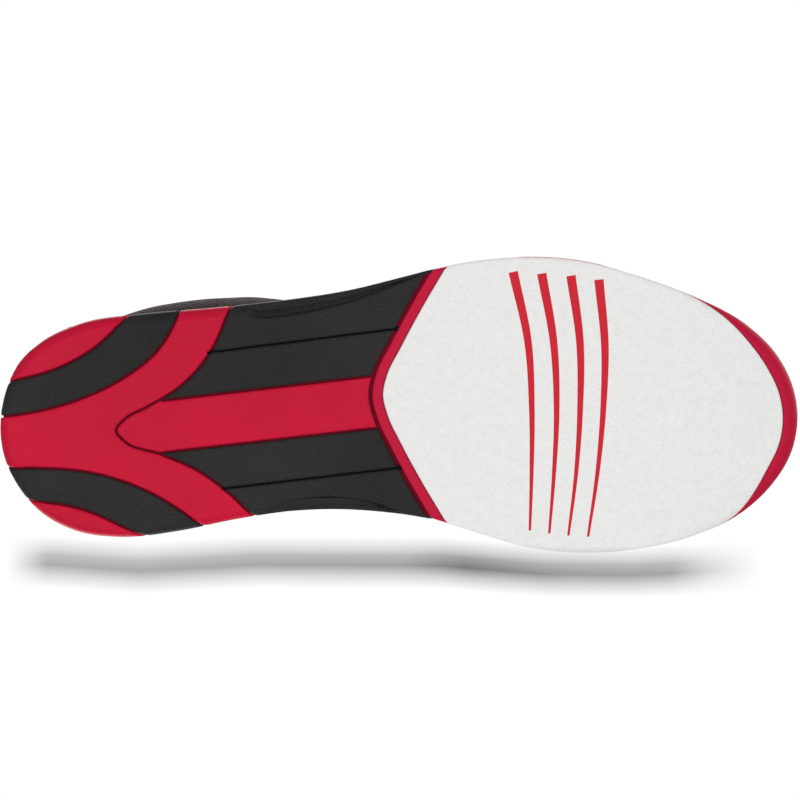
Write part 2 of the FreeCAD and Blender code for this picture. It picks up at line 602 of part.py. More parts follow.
def tongue_surface(s, q):
    """The tongue's upper side, q = -1..1 across. Past the facings it carries on in a rising line."""
    if s < TONGUE_BEND:
        p, r = tongue_surface(TONGUE_BEND, q), tongue_surface(TONGUE_BEND + 0.03, q)
        past = (TONGUE_BEND - s) / 0.03
        return p + (p - r) * past + Vector(1.6, 0, 1.6) * (past * past / 3)
    middle, left, right = tongue_frame(s)
    return middle + (right - left) * (q / 2) + ((left + right) * 0.5 - middle) * (q * q)


def tongue_pad(s, q):
    """How much the padding stands up between the facings."""
    reach = 0.60
    if abs(q) >= reach:
        return 0.0
    return TONGUE_PAD * (1 - (q / reach) ** 2) ** 2 * (1 - smooth(0.515, 0.550, s))


def make_tongue(parts):
    """Padded tongue, and the strip that sews it under the vamp's rear edge."""
    grid = [[], []]
    rows, columns = 27, 17
    h = 2e-3
    for i in range(rows):
        s = TONGUE_LAST + (TONGUE_FIRST - TONGUE_LAST) * i / (rows - 1)
        line = [], []
        for j in range(columns):
            q = 2 * j / (columns - 1) - 1
            ds = tongue_surface(s + h, q) - tongue_surface(s - h, q)
            dq = tongue_surface(s, q + 0.01) - tongue_surface(s, q - 0.01)
            normal = ds.cross(dq)
            normal.normalize()
            p = tongue_surface(s, q)
            line[0].append(p + normal * tongue_pad(s, q))
            line[1].append(p - normal * TONGUE_THICK)
        grid[0].append(line[0])
        grid[1].append(line[1])
    parts["tongue"] = close_sheet(*grid)
    parts["tongue_strip"] = sheet(arch, (TONGUE_FIRST + 0.003, TONGUE_FIRST + 0.014), (0.34, 0.66), (2.4, 4.4), (3, 13))


def lace_bar(share):
    """One straight run of the flat lace over the tongue, between the two eyelets at one level."""
    up = normal_at(arch, share, 0.5)
    up.y = 0
    up.normalize()
    along = Vector(0, 1, 0).cross(up)
    origin = arch(share, 0.5)
    low = 0.36 * EYELET_T - 0.006
    under, over = [], []
    for i in range(13):
        a = low + (1 - 2 * low) * i / 12
        normal = normal_at(arch, share, a)
        for row, height in ((under, LACE_HEIGHT), (over, LACE_HEIGHT + LACE_THICK)):
            p = arch(share, a) + normal * height
            row.append(p - along * ((p - origin).dot(along)))
    curves = []
    for row in (under, over):
        c = Part.BSplineCurve()
        c.interpolate(row)
        curves.append(c.toShape())
    near, far = Part.makeLine(under[0], over[0]), Part.makeLine(under[-1], over[-1])
    face = Part.Face(Part.Wire([curves[0], far, curves[1], near]))
    bar = face.extrude(along * LACE_WIDTH)
    bar.translate(along * (-LACE_WIDTH / 2))
    return bar


def make_lace(parts):
    """A single lace in straight bars: across, down inside to the next eyelet, and back across."""
    lace = lace_bar(EYELETS[0])
    for share in EYELETS[1:]:
        lace = lace.fuse(lace_bar(share))
    for side in (-1, 1):
        for share in EYELETS:
            centre, normal = eyelet_frame(side, share)
            lace = lace.fuse(cylinder(centre, normal, LACE_ROUND, -LACE_DROP - 0.7, LACE_HEIGHT + 0.6))
    for i in range(len(EYELETS) - 1):
        side = -1 if i % 2 else 1
        ends = [c - n * LACE_DROP for c, n in (eyelet_frame(side, EYELETS[i]), eyelet_frame(side, EYELETS[i + 1]))]
        run = ends[1] - ends[0]
        lace = lace.fuse(Part.makeCylinder(0.7, run.Length, ends[0], run))
    parts["lace"] = lace


def make_pull_tab(parts):
    """Webbing loop over the heel's top edge, sewn outside and inside."""
    outer = [(-141.4, 84.0), (-141.4, 101.2), (-139.6, 103.6), (-131.4, 103.6), (-129.0, 101.6), (-125.6, 90.8)]
    inner = [(-126.9, 90.8), (-130.2, 100.8), (-132.0, 102.3), (-139.1, 102.3), (-140.1, 100.8), (-140.1, 84.0)]
    corners = [Vector(x, ridge_y(-139.0) - 7.0, z) for x, z in outer + inner]
    parts["pull_tab"] = Part.Face(Part.makePolygon(corners + corners[:1])).extrude(Vector(0, 14, 0))


parts = {}
make_upper(parts)
make_tongue(parts)
make_lace(parts)
make_pull_tab(parts)
make_sole(parts)
make_insoles(parts)
os.makedirs("parts", exist_ok=True)
for name, shape in parts.items():
    shape.exportStep(f"parts/{name}.step")
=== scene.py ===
"""Right-foot bowling shoe, seen from under its sole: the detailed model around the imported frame.

Shapes are worked out in millimetres and turned into metres when a mesh is made.
+X points to the toe, +Y to the medial side, +Z up. The sole unit is laid out flat and then wrapped round
the edge of the shoe; the upper is a set of panels on one surface, wall(f, t).
"""
import json
import math

import bmesh
import bpy
import numpy as np
from mathutils import Matrix, Vector, geometry


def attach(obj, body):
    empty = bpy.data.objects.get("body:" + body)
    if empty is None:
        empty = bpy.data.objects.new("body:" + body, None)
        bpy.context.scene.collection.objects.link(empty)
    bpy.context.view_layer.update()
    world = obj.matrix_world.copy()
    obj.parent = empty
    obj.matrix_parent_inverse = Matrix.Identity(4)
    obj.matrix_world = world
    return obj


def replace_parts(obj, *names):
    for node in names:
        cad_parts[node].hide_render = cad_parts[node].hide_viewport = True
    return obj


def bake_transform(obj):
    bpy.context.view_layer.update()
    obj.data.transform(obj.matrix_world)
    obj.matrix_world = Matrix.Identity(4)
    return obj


bpy.ops.wm.read_factory_settings(use_empty=True)
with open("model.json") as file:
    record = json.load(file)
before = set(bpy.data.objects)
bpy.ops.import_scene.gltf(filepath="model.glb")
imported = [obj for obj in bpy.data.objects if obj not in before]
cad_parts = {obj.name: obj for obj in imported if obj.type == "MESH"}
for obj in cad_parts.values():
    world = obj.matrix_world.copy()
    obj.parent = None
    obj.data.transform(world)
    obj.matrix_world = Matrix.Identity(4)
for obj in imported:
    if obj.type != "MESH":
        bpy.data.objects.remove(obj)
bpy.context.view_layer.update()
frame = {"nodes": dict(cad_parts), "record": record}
MM = 0.001

# ---------------------------------------------------------------- driving dimensions, in mm
SPRING_START_X = 70.0       # the bottom curves up to the toe from here
SPRING_RADIUS = 272.0
BALL_TOP = 13.0             # height of the midsole's top under the ball and under the heel
HEEL_TOP = 22.0
FEATHER_INSET = 5.5         # the upper meets the sole this far inside the outline
BORDER_WIDTH = 4.3          # the red chevron border behind the pad
# the sole's outline, from the heel along the lateral side to the toe and back along the medial side
OUTLINE = [(-150.5, 8.0), (-148.6, -4.5), (-143.2, -16.2), (-134.0, -24.6), (-119.0, -31.3), (-97.0, -34.6),
           (-70.0, -36.9), (-45.0, -39.6), (-20.0, -43.4), (2.0, -48.9), (23.0, -54.1), (45.0, -56.3),
           (68.0, -54.9), (90.0, -49.1), (112.0, -40.7), (130.0, -30.8), (143.3, -17.4), (149.3, -4.5),
           (150.7, 5.5), (148.2, 19.3), (140.9, 31.1), (129.2, 41.6), (110.5, 49.9), (90.0, 54.3),
           (68.0, 55.7), (48.0, 53.7), (28.0, 47.9), (9.0, 42.3), (-12.0, 39.7), (-40.0, 39.9),
           (-62.0, 43.1), (-84.0, 47.6), (-105.0, 49.8), (-122.0, 47.5), (-135.0, 40.6), (-144.4, 29.6),
           (-149.2, 18.8)]
PAD_REAR = [(26.0, -68.0), (18.5, -54.6), (7.5, -35.7), (0.0, -21.6), (-4.8, -12.0), (-6.4, -4.2),
            (-4.6, 3.6), (0.0, 13.4), (7.5, 27.4), (18.0, 45.0), (27.0, 60.0)]
GROOVES = {
    "corner_lateral": [(-163.0, -9.0), (-143.4, -10.2), (-128.3, -14.5), (-113.2, -23.4), (-105.0, -31.7),
                       (-97.0, -48.0)],
    "band_lateral": [(-163.0, 4.4), (-143.4, 3.2), (-120.8, -2.5), (-105.7, -9.6), (-90.6, -21.7),
                     (-84.7, -31.5), (-81.5, -49.0)],
    "band_medial": [(-163.0, 25.2), (-135.9, 23.4), (-113.2, 25.8), (-98.1, 30.8), (-83.0, 39.2),
                    (-64.0, 56.0)],
    "corner_medial": [(-156.0, 37.9), (-132.1, 36.5), (-117.0, 39.9), (-105.7, 45.0), (-86.0, 57.0)],
    "yoke_front_lateral": [(-60.5, -52.0), (-65.2, -34.0), (-71.7, -19.8), (-83.0, -7.2), (-95.0, 0.2),
                           (-103.6, 4.9), (-106.9, 9.2), (-103.6, 13.3), (-90.0, 18.2), (-75.5, 24.7),
                           (-63.5, 33.7), (-46.0, 54.0)],
    "spine_lateral": [(-89.5, -2.1), (-48.0, -7.0), (-3.0, -12.2)],
    "spine_medial": [(-91.5, 17.8), (-48.0, 12.8), (-1.0, 7.4)],
}
PLANK_GROOVES = [[(-72.5, -20.2), (-36.0, -24.8), (2.0, -29.6)], [(-67.0, 31.2), (-33.0, 27.2), (3.0, 22.9)]]
STRIPES = [
    [(42.5, -50.6), (48.1, -24.3), (49.6, 2.1), (49.5, 26.0), (48.9, 47.0)],
    [(53.2, -50.0), (57.7, -24.3), (58.9, 2.1), (57.9, 26.0), (56.2, 48.1)],
    [(64.2, -49.2), (67.6, -24.3), (67.7, 2.1), (66.2, 26.0), (63.4, 48.9)],
    [(74.7, -47.7), (77.0, -22.5), (76.5, 0.0), (74.2, 26.0), (70.8, 49.3)],
]
STRIPE_WIDE = 3.5           # at the lateral end
STRIPE_NARROW = 0.9         # at the medial end
PRINT_THICK = 0.05

# Only for looks
GROOVE = 0.95               # visible width of a groove between two coloured blocks
GROOVE_DEEP = 1.5
GROOVE_FLOOR_REACH = 2.3    # the floor under a groove reaches this far on both sides of its centre line
PLANK_GROOVE = 0.80
WRAP = 17.0                 # the flat layout reaches at most this far past the outline before it is wrapped
PAD_LIFT = 0.12             # the pad's surface lies this far above the ground plane, for the print to lie on
PAD_EDGE_OUT = 0.6          # the pad's edge runs this far past the outline, and comes inside it at the toe
PAD_TOE_INSET = 6.2


# ---------------------------------------------------------------- curves in plan
def cubic(f, gap, a, b, slope_a, slope_b):
    """Share f of the way from a to b along a cubic with the given end slopes."""
    return ((2 * f**3 - 3 * f**2 + 1) * a + (f**3 - 2 * f**2 + f) * gap * slope_a
            + (3 * f**2 - 2 * f**3) * b + (f**3 - f**2) * gap * slope_b)


PER_SPAN = 24


def hermite_path(points, closed, per_span=PER_SPAN):
    """Points along a smooth curve through the given ones, with speed set by their spacing."""
    p = np.asarray(points, float)
    n = len(p)
    index = np.arange(n + 1 if closed else n)
    q = p[index % n]
    gaps = np.linalg.norm(np.diff(q, axis=0), axis=1)
    u = np.concatenate([[0], np.cumsum(gaps)])
    if closed:
        before, after = q[-2], q[1]
        w = np.concatenate([[u[0] - gaps[-1]], u, [u[-1] + gaps[0]]])
        z = np.vstack([before, q, after])
    else:
        w = np.concatenate([[u[0] - gaps[0]], u, [u[-1] + gaps[-1]]])
        z = np.vstack([2 * q[0] - q[1], q, 2 * q[-1] - q[-2]])
    # slopes of the parabola through each three neighbours
    d = np.diff(z, axis=0) / np.diff(w)[:, None]
    h = np.diff(w)
    slopes = (d[:-1] * h[1:, None] + d[1:] * h[:-1, None]) / (h[:-1] + h[1:])[:, None]
    f = np.linspace(0, 1, per_span, endpoint=False)[:, None]
    rows = [cubic(f, gaps[i], q[i], q[i + 1], slopes[i], slopes[i + 1]) for i in range(len(q) - 1)]
    return np.vstack(rows + [q[-1:]])


def path_length(path):
    return np.linalg.norm(np.diff(path, axis=0), axis=1).sum()


def run_along(path):
    """Length along a path from its start, at each of its points."""
    return np.concatenate([[0], np.cumsum(np.linalg.norm(np.diff(path, axis=0), axis=1))])


def even(path, count, closed=False):
    """The path at evenly spaced places."""
    s = run_along(path)
    at = np.linspace(0, s[-1], count, endpoint=not closed)
    return np.column_stack([np.interp(at, s, path[:, k]) for k in range(path.shape[1])])


def left_normals(path, closed=False):
    """Unit normals on the left of a path in plan."""
    if closed:
        t = np.roll(path, -1, axis=0) - np.roll(path, 1, axis=0)
    else:
        t = np.gradient(path, axis=0)
    t /= np.linalg.norm(t, axis=1)[:, None]
    return np.column_stack([-t[:, 1], t[:, 0]])


EDGE = even(hermite_path(OUTLINE, True), 1500, closed=True)
EDGE_IN = left_normals(EDGE, closed=True)
PAD_EDGE = even(hermite_path(PAD_REAR, False), 160)
PAD_EDGE_BACK = left_normals(PAD_EDGE)


def nearest(points, path):
    """Index of the nearest path point, for each point."""
    found = np.empty(len(points), int)
    for i in range(0, len(points), 4000):
        chunk = points[i:i + 4000]
        gap = ((chunk[:, None, :] - path[None, :, :]) ** 2).sum(-1)
        found[i:i + 4000] = gap.argmin(1)
    return found


def inset_from_edge(points):
    """(distance inside the sole's outline, index of the nearest outline point)."""
    i = nearest(points, EDGE)
    return ((points - EDGE[i]) * EDGE_IN[i]).sum(1), i


def smooth(a, b, x):
    """0 below a, 1 above b, and a soft step between."""
    f = np.clip((x - a) / (b - a), 0, 1)
    return f * f * (3 - 2 * f)


def ground(x, z=0.0):
    """Height of the bottom's side profile: level, then curving up to the toe."""
    x = np.asarray(x, float)
    r = SPRING_RADIUS - z
    run = np.clip(x - SPRING_START_X, 0, r * 0.99)
    return np.where(x > SPRING_START_X, SPRING_RADIUS - np.sqrt(r * r - run * run), z)


# share of the heel's extra height along the shoe
HEEL_RAMP = [(-160.0, 1.0), (-90.0, 1.0), (-40.0, 0.72), (0.0, 0.28), (30.0, 0.04), (44.0, 0.0),
             (160.0, 0.0)]


def table(rows, s):
    """Smooth values at s (an array) from rows of (s, a, b, ...)."""
    rows = np.asarray(rows, float)
    u, v = rows[:, 0], rows[:, 1:]
    slopes = np.empty_like(v)
    slopes[1:-1] = (v[2:] - v[:-2]) / (u[2:] - u[:-2])[:, None]
    slopes[0] = (v[1] - v[0]) / (u[1] - u[0])
    slopes[-1] = (v[-1] - v[-2]) / (u[-1] - u[-2])
    s = np.atleast_1d(np.asarray(s, float))
    i = np.clip(np.searchsorted(u, s, side="right") - 1, 0, len(u) - 2)
    w = (u[i + 1] - u[i])[:, None]
    f = ((s - u[i]) / (u[i + 1] - u[i]))[:, None]
    return cubic(f, w, v[i], v[i + 1], slopes[i], slopes[i + 1])


def ramp(x):
    """Extra height under the heel."""
    x = np.asarray(x, float)
    return (HEEL_TOP - BALL_TOP) * table(HEEL_RAMP, x.ravel())[:, 0].reshape(x.shape)


def midsole_top(x):
    """Height of the midsole's top."""
    return ground(x, BALL_TOP) + ramp(x)


# ---------------------------------------------------------------- wrapping the flat layout round the edge
WALL_LEAN = 0.13            # the rubber's wall leans in by this much per mm of height, less beside the pad


def roll_radius(x):
    """Radius of the sole's lower edge: soft at the heel, tight beside the pad, soft at the toe."""
    return 3.9 - 2.5 * smooth(-28, 2, x) + 3.4 * smooth(92, 138, x)


def wrap(points, height):
    """Flat layout to 3D. height is how far a point stands above the flat layout, into the shoe."""
    d, i = inset_from_edge(points)
    p, inward = EDGE[i], EDGE_IN[i]
    slide = points - p - inward * d[:, None]
    r = roll_radius(p[:, 0])
    turn = np.clip((r - d) / r, 0, math.pi / 2)
    beyond = np.maximum((r - d) - r * math.pi / 2, 0)
    flat = d >= r
    turn = np.where(flat, 0, turn)
    lean = WALL_LEAN - 0.09 * smooth(34, 48, p[:, 0]) * (1 - smooth(76, 90, p[:, 0]))
    inset = np.where(flat, d, r - r * np.sin(turn)) + beyond * lean
    z = np.where(flat, 0, r * (1 - np.cos(turn)) + beyond)
    xy = p + slide + inward * (inset + height * np.sin(turn))[:, None]
    z = z + height * np.cos(turn)
    return np.column_stack([xy, z + ground(xy[:, 0])])


def mesh_object(name, verts, faces, material, smooth_shade=True):
    """A mesh piece from millimetre points."""
    me = bpy.data.meshes.new(name)
    me.from_pydata([tuple(v) for v in np.asarray(verts) * MM], [], [tuple(f) for f in faces])
    me.validate()
    me.materials.append(material)
    me.shade_smooth() if smooth_shade else me.shade_flat()
    o = bpy.data.objects.new(name, me)
    bpy.context.scene.collection.objects.link(o)
    return o


def recalc(o, merge=None):
    """Turn a mesh's faces outward, after joining points closer than merge mm where it is given."""
    bm = bmesh.new()
    bm.from_mesh(o.data)
    if merge:
        bmesh.ops.remove_doubles(bm, verts=bm.verts, dist=merge * MM)
    bmesh.ops.recalc_face_normals(bm, faces=bm.faces)
    bm.to_mesh(o.data)
    bm.free()
    if merge:
        o.data.shade_smooth()
    return o


def strip_faces(rows, columns, closed=False):
    """Quads between neighbouring rows of points; closed rows meet end to start."""
    last = columns if closed else columns - 1
    return [(i * columns + j, i * columns + (j + 1) % columns, (i + 1) * columns + (j + 1) % columns,
             (i + 1) * columns + j) for i in range(rows - 1) for j in range(last)]


def cladding_reach(p):
    """How far the coloured rubber runs past the outline at outline points p: higher round the heel."""
    x = p[:, 0]
    return 9.5 + 6.5 * (1 - smooth(-142, -88, x)) + 2.2 * smooth(-50, -5, x) * (1 - smooth(0, 40, x))


# how far inside the outline the scoops reach along the shoe
SCALLOP_LATERAL = [(-60.0, 1.2), (-56.0, 4.6), (-48.0, 6.2), (-22.0, 5.0), (-4.0, 2.9), (12.0, 0.4)]
SCALLOP_MEDIAL = [(-55.0, 0.3), (-43.4, 3.9), (-34.0, 5.3), (-22.6, 5.3), (-11.3, 3.9), (-3.8, 2.2),
                  (3.0, 0.2)]


def scallop(points):
    """Extra height (a hollow) where the shank's sides are scooped out, less the two raised beads."""
    d, i = inset_from_edge(points)
    x = points[:, 0]
    extra = np.zeros(len(points))
    for rows, side, depth, width in ((SCALLOP_LATERAL, -1, 1.9, 1.0), (SCALLOP_MEDIAL, 1, 3.6, 1.3)):
        here = (x > rows[0][0]) & (x < rows[-1][0]) & (EDGE[i, 1] * side > 15)
        g = np.zeros(len(points))
        g[here] = table(rows, x[here])[:, 0] - d[here]
        fade = smooth(rows[0][0], rows[0][0] + 7, x) * (1 - smooth(rows[-1][0] - 9, rows[-1][0], x))
        lip = smooth(-0.6, 0.9, d)
        extra += np.where(here, depth * smooth(0.0, width, g) * fade * lip, 0)
        if side < 0:
            extra -= np.where(here, np.exp(-((g - 2.6) / 0.5) ** 2) * fade * lip, 0)
    bevel = smooth(-150, -120, x) * (1 - smooth(-66, -56, x)) * (EDGE[i, 1] < 0)
    return extra - 0.22 * np.exp(-((d - 3.3) / 0.45) ** 2) * bevel


def scallop_rows():
    """Mesh rows that follow the scallops' ridges."""
    found = []
    for rows, side in ((SCALLOP_LATERAL, -1), (SCALLOP_MEDIAL, 1)):
        here = (EDGE[:, 0] > rows[0][0]) & (EDGE[:, 0] < rows[-1][0]) & (EDGE[:, 1] * side > 15)
        p, n = EDGE[here][::3], EDGE_IN[here][::3]
        ridge = table(rows, p[:, 0])[:, 0]
        for g in (-0.4, 0.0, 0.35, 0.7, 1.1, 1.6, 2.1, 2.4, 2.7, 3.0, 3.4, 4.2, 5.2):
            found.append(p + n * (ridge - g)[:, None])
    return np.vstack(found)


def middles(verts, faces):
    return np.array([verts[list(f)].mean(0) for f in faces])


def chosen(faces, wanted):
    return [f for f, ok in zip(faces, wanted) if ok]


def distance(points, path):
    """Distance from each point to the nearest point of a path."""
    return np.sqrt(((points - path[nearest(points, path)]) ** 2).sum(1))


class Layout:
    """A flat plan cut into regions by grooves, meshed so that every groove edge is a clean line."""

    def __init__(self):
        self.points = []
        self.edges = []

    def loop(self, path, closed=True):
        base = len(self.points)
        self.points += [tuple(p) for p in path]
        n = len(path)
        last = n if closed else n - 1
        self.edges += [(base + k, base + (k + 1) % n) for k in range(last)]

    def scatter(self, path):
        self.points += [tuple(p) for p in path]

    def triangles(self):
        """(points, faces, the faces' middles)."""
        out = geometry.delaunay_2d_cdt([Vector(p) for p in self.points], self.edges, [], 0, 1e-4)
        verts, faces = np.array([tuple(v) for v in out[0]]), [tuple(f) for f in out[2]]
        return verts, faces, middles(verts, faces)


def regions(faces):
    """Groups of faces that share edges."""
    owner = {}
    parent = list(range(len(faces)))

    def root(k):
        while parent[k] != k:
            parent[k] = parent[parent[k]]
            k = parent[k]
        return k

    for k, f in enumerate(faces):
        for a, b in zip(f, f[1:] + f[:1]):
            e = (a, b) if a < b else (b, a)
            if e in owner:
                parent[root(k)] = root(owner[e])
            else:
                owner[e] = k
    groups = {}
    for k in range(len(faces)):
        groups.setdefault(root(k), []).append(faces[k])
    return list(groups.values())


def block_mesh(name, verts, faces, height, material, skirt):
    """A block with its wrapped face outward and a skirt that goes up into the sole."""
    used = sorted({v for f in faces for v in f})
    back = {v: k for k, v in enumerate(used)}
    flat = verts[used]
    top = wrap(flat, height[used])
    faces = [tuple(back[v] for v in f) for f in faces]
    count = {}
    for f in faces:
        for a, b in zip(f, f[1:] + f[:1]):
            count.setdefault((a, b) if a < b else (b, a), []).append((a, b))
    rim = [e[0] for e in count.values() if len(e) == 1]
    rim_verts = sorted({v for e in rim for v in e})
    low = {v: len(flat) + k for k, v in enumerate(rim_verts)}
    deep = wrap(flat[rim_verts], np.full(len(rim_verts), skirt))
    faces += [(b, a, low[a], low[b]) for a, b in rim]
    return recalc(mesh_object(name, np.vstack([top, deep]), faces, material))


# ---------------------------------------------------------------- materials
class Nodes:
    """A small helper to write node trees."""

    def __init__(self, name):
        self.mat = bpy.data.materials.new(name)
        self.mat.use_nodes = True
        self.tree = self.mat.node_tree
        self.tree.nodes.clear()
        self.out = self.tree.nodes.new("ShaderNodeOutputMaterial")
        self.bsdf = self.tree.nodes.new("ShaderNodeBsdfPrincipled")
        self.link(self.bsdf.outputs[0], self.out.inputs[0])
        self.coords = self.tree.nodes.new("ShaderNodeTexCoord").outputs["Object"]

    def link(self, a, b):
        self.tree.links.new(a, b)

    def new(self, kind, **settings):
        n = self.tree.nodes.new(kind)
        for key, value in settings.items():
            setattr(n, key, value)
        return n

    def set(self, n, **values):
        for key, value in values.items():
            s = n.inputs[key.replace("_", " ")]
            if hasattr(value, "links"):
                self.link(value, s)
            else:
                s.default_value = value
        return n

    def noise(self, scale, detail=3.0, rough=0.55, vector=None):
        n = self.new("ShaderNodeTexNoise")
        self.set(n, Scale=scale, Detail=detail, Roughness=rough)
        self.link(vector or self.coords, n.inputs["Vector"])
        return n.outputs["Fac"]

    def cells(self, scale, vector=None):
        n = self.new("ShaderNodeTexVoronoi", feature="F1")
        self.set(n, Scale=scale)
        self.link(vector or self.coords, n.inputs["Vector"])
        return n.outputs["Distance"]

    def bands(self, scale, direction, vector):
        n = self.new("ShaderNodeTexWave", wave_profile="SIN", bands_direction=direction)
        self.set(n, Scale=scale)
        self.link(vector, n.inputs["Vector"])
        return n.outputs["Fac"]

    def ramp(self, value, stops):
        n = self.new("ShaderNodeValToRGB")
        while len(n.color_ramp.elements) < len(stops):
            n.color_ramp.elements.new(0.5)
        for e, (at, colour) in zip(n.color_ramp.elements, stops):
            e.position = at
            e.color = (*colour, 1)
        self.link(value, n.inputs["Fac"])
        return n.outputs["Color"]

    def math(self, operation, a, b):
        n = self.new("ShaderNodeMath", operation=operation)
        for k, value in enumerate((a, b)):
            if hasattr(value, "links"):
                self.link(value, n.inputs[k])
            else:
                n.inputs[k].default_value = value
        return n.outputs[0]

    def blend(self, a, b, share):
        """a and b mixed, with b having the given share."""
        return self.math("ADD", self.math("MULTIPLY", a, 1 - share), self.math("MULTIPLY", b, share))

    def bump(self, height, distance, strength=1.0, after=None):
        n = self.new("ShaderNodeBump")
        self.set(n, Height=height, Distance=distance, Strength=strength)
        if after is not None:
            self.link(after, n.inputs["Normal"])
        return n.outputs[0]

    def finish(self, colour, roughness, normal, **more):
        self.set(self.bsdf, Base_Color=colour, Roughness=roughness, Normal=normal, **more)
        return self.mat


def shade(colour, factor):
    """A colour made darker or lighter by a factor."""
    return tuple(min(c * factor, 1.0) for c in colour)


def rubber(name, colour, spread, roughness=0.52):
    """Moulded rubber: mould-texture bump, faint dust and handling marks."""
    n = Nodes(name)
    broad = n.noise(16, 4, 0.6)
    fine = n.noise(900, 3, 0.6)
    cloud = n.blend(broad, n.noise(1300, 2, 0.6), 0.6)
    col = n.ramp(cloud, [(0.30, shade(colour, 1 - spread)), (0.70, shade(colour, 1 + spread))])
    grain = n.bump(fine, 0.00005, 0.6)
    rough = n.math("ADD", n.math("MULTIPLY", n.noise(42, 4, 0.7), 0.22), roughness - 0.11)
    return n.finish(col, rough, n.bump(n.noise(120, 3), 0.00008, 0.35, grain), Specular_IOR_Level=0.08)


def microfibre(name, colour, fleck):
    """Brushed white slide microfibre: short matted fibres with a soft mottled shade."""
    n = Nodes(name)
    small, broad = n.noise(1500, 3, 0.7), n.noise(300, 3, 0.6)
    col = n.ramp(n.blend(small, broad, 0.26), [(0.34, shade(colour, 1 - fleck)), (0.62, colour)])
    hair = n.bump(n.noise(1500, 4, 0.75), 0.00016, 0.55)
    return n.finish(col, 0.96, n.bump(n.noise(260, 4, 0.65), 0.0003, 0.45, hair), Specular_IOR_Level=0.1,
                    Sheen_Weight=0.12, Sheen_Roughness=0.6)


RED = (0.550, 0.0072, 0.036)
RED_RAND = (0.520, 0.008, 0.042)
BLACK = (0.0245, 0.0228, 0.0232)
PAD_WHITE = (0.885, 0.88, 0.865)
STRIPE_RED = (0.66, 0.022, 0.038)
MAT = {
    "rubber_red": rubber("rubber_red", RED, 0.20),
    "rubber_rand": rubber("rubber_rand", RED_RAND, 0.08, 0.5),
    "rubber_black": rubber("rubber_black", BLACK, 0.50, 0.60),
    # the two groove floors are painted shade: a darkened red and a near black stand for the shade at the bottom
    # of the grooves
    "groove": rubber("groove_shade_floor", (0.13, 0.002, 0.011), 0.2, 0.8),
    "plank_groove_shade": rubber("plank_groove_shade_floor", (0.004, 0.004, 0.004), 0.2, 0.9),
    "pad": microfibre("pad_microfibre", PAD_WHITE, 0.14),
    "stripe": microfibre("pad_print", STRIPE_RED, 0.14),
    "midsole": rubber("midsole_foam", (0.028, 0.026, 0.027), 0.15, 0.66),
}


# ---------------------------------------------------------------- outsole blocks
EDGE_ROWS = [0.0, 0.12, 0.3, 0.55, 0.9, 1.5]      # distances from a block's edge where the mesh has a row
FAR = 99.0                                       # more than any distance to a groove
EDGE_DROP = 0.32                                 # how far the block's edge is rounded off
EDGE_ROUND = 0.6
LEAST_FACES = 60                                 # a smaller region is a sliver, not a block
BLOCKS = {                                       # a place inside each block, and what it is made of
    "heel_corner_lateral": ((-125, -24), "rubber_red"),
    "heel_band_lateral": ((-115, -14), "rubber_black"),
    "heel_yoke": ((-125, 12), "rubber_red"),
    "heel_band_medial": ((-115, 32), "rubber_black"),
    "heel_corner_medial": ((-120, 43), "rubber_red"),
    "shank_spine": ((-60, 4), "rubber_red"),
    "shank_plank_lateral": ((-45, -17), "rubber_black"),
    "shank_plank_lateral_outer": ((-45, -33), "rubber_black"),
    "shank_plank_medial": ((-45, 20), "rubber_black"),
    "shank_plank_medial_outer": ((-45, 34), "rubber_black"),
}


def edge_height(gap):
    """Rounded block edge: height above the layout plane at a distance from the edge."""
    f = np.clip(1 - gap / EDGE_ROUND, 0, 1)
    return EDGE_DROP * (1 - np.sqrt(np.clip(1 - f * f, 0, 1)))


def band(path, width, step=1.3):
    """(left side, right side) of a groove along a path."""
    row = even(path, max(int(path_length(path) / step), 8))
    n = left_normals(row)
    return row + n * width / 2, row - n * width / 2


def shell_grid(step, inside):
    """Staggered grid of plan points over the sole, where inside(points) is true."""
    low, high = EDGE.min(0), EDGE.max(0)
    rows = []
    y = low[1]
    odd = False
    while y <= high[1]:
        x = np.arange(low[0] + (step / 2 if odd else 0), high[0], step)
        rows.append(np.column_stack([x, np.full(len(x), y)]))
        y += step * 0.866
        odd = not odd
    points = np.vstack(rows)
    return points[inside(points)]


def outline_rows(keep):
    """Rows of points along the outline, close together where the sole's edge rolls over."""
    found = []
    for share in (1.0, 0.86, 0.72, 0.58, 0.44, 0.3, 0.16, 0.02, -0.12, -0.26, -0.40, -0.54):
        found.append(EDGE[::5] + EDGE_IN[::5] * (roll_radius(EDGE[::5, 0]) * share)[:, None])
    for beyond in (3.0, 5.0, 7.5, 10.0, 12.5, 15.0):
        row = EDGE[::6] - EDGE_IN[::6] * beyond
        found.append(row[cladding_reach(EDGE[::6]) > beyond + 0.7])
    points = np.vstack(found)
    return points[keep(points)]


def back_of_border(points, shift):
    """True behind the pad's chevron edge moved back by shift."""
    i = nearest(points, PAD_EDGE)
    return ((points - PAD_EDGE[i]) * PAD_EDGE_BACK[i]).sum(1) > shift


def groove_path(name, points):
    """A groove's centre line, run on past the wrapped edge where it leaves the sole."""
    path = hermite_path(points, False)
    if name.startswith("spine"):
        return path
    first, last = path[0] - path[6], path[-1] - path[-7]
    first, last = first / np.linalg.norm(first), last / np.linalg.norm(last)
    return np.vstack([path[0] + first * 2 * WRAP, path, path[-1] + last * 2 * WRAP])


def groove_lines():
    """Centre lines of the grooves between coloured blocks, the one behind the border last."""
    lines = [even(groove_path(name, p), 260) for name, p in GROOVES.items()]
    return lines + [PAD_EDGE + PAD_EDGE_BACK * (BORDER_WIDTH + GROOVE / 2 + 0.2)]


def plank_lines():
    return [even(hermite_path(p, False), 120) for p in PLANK_GROOVES]


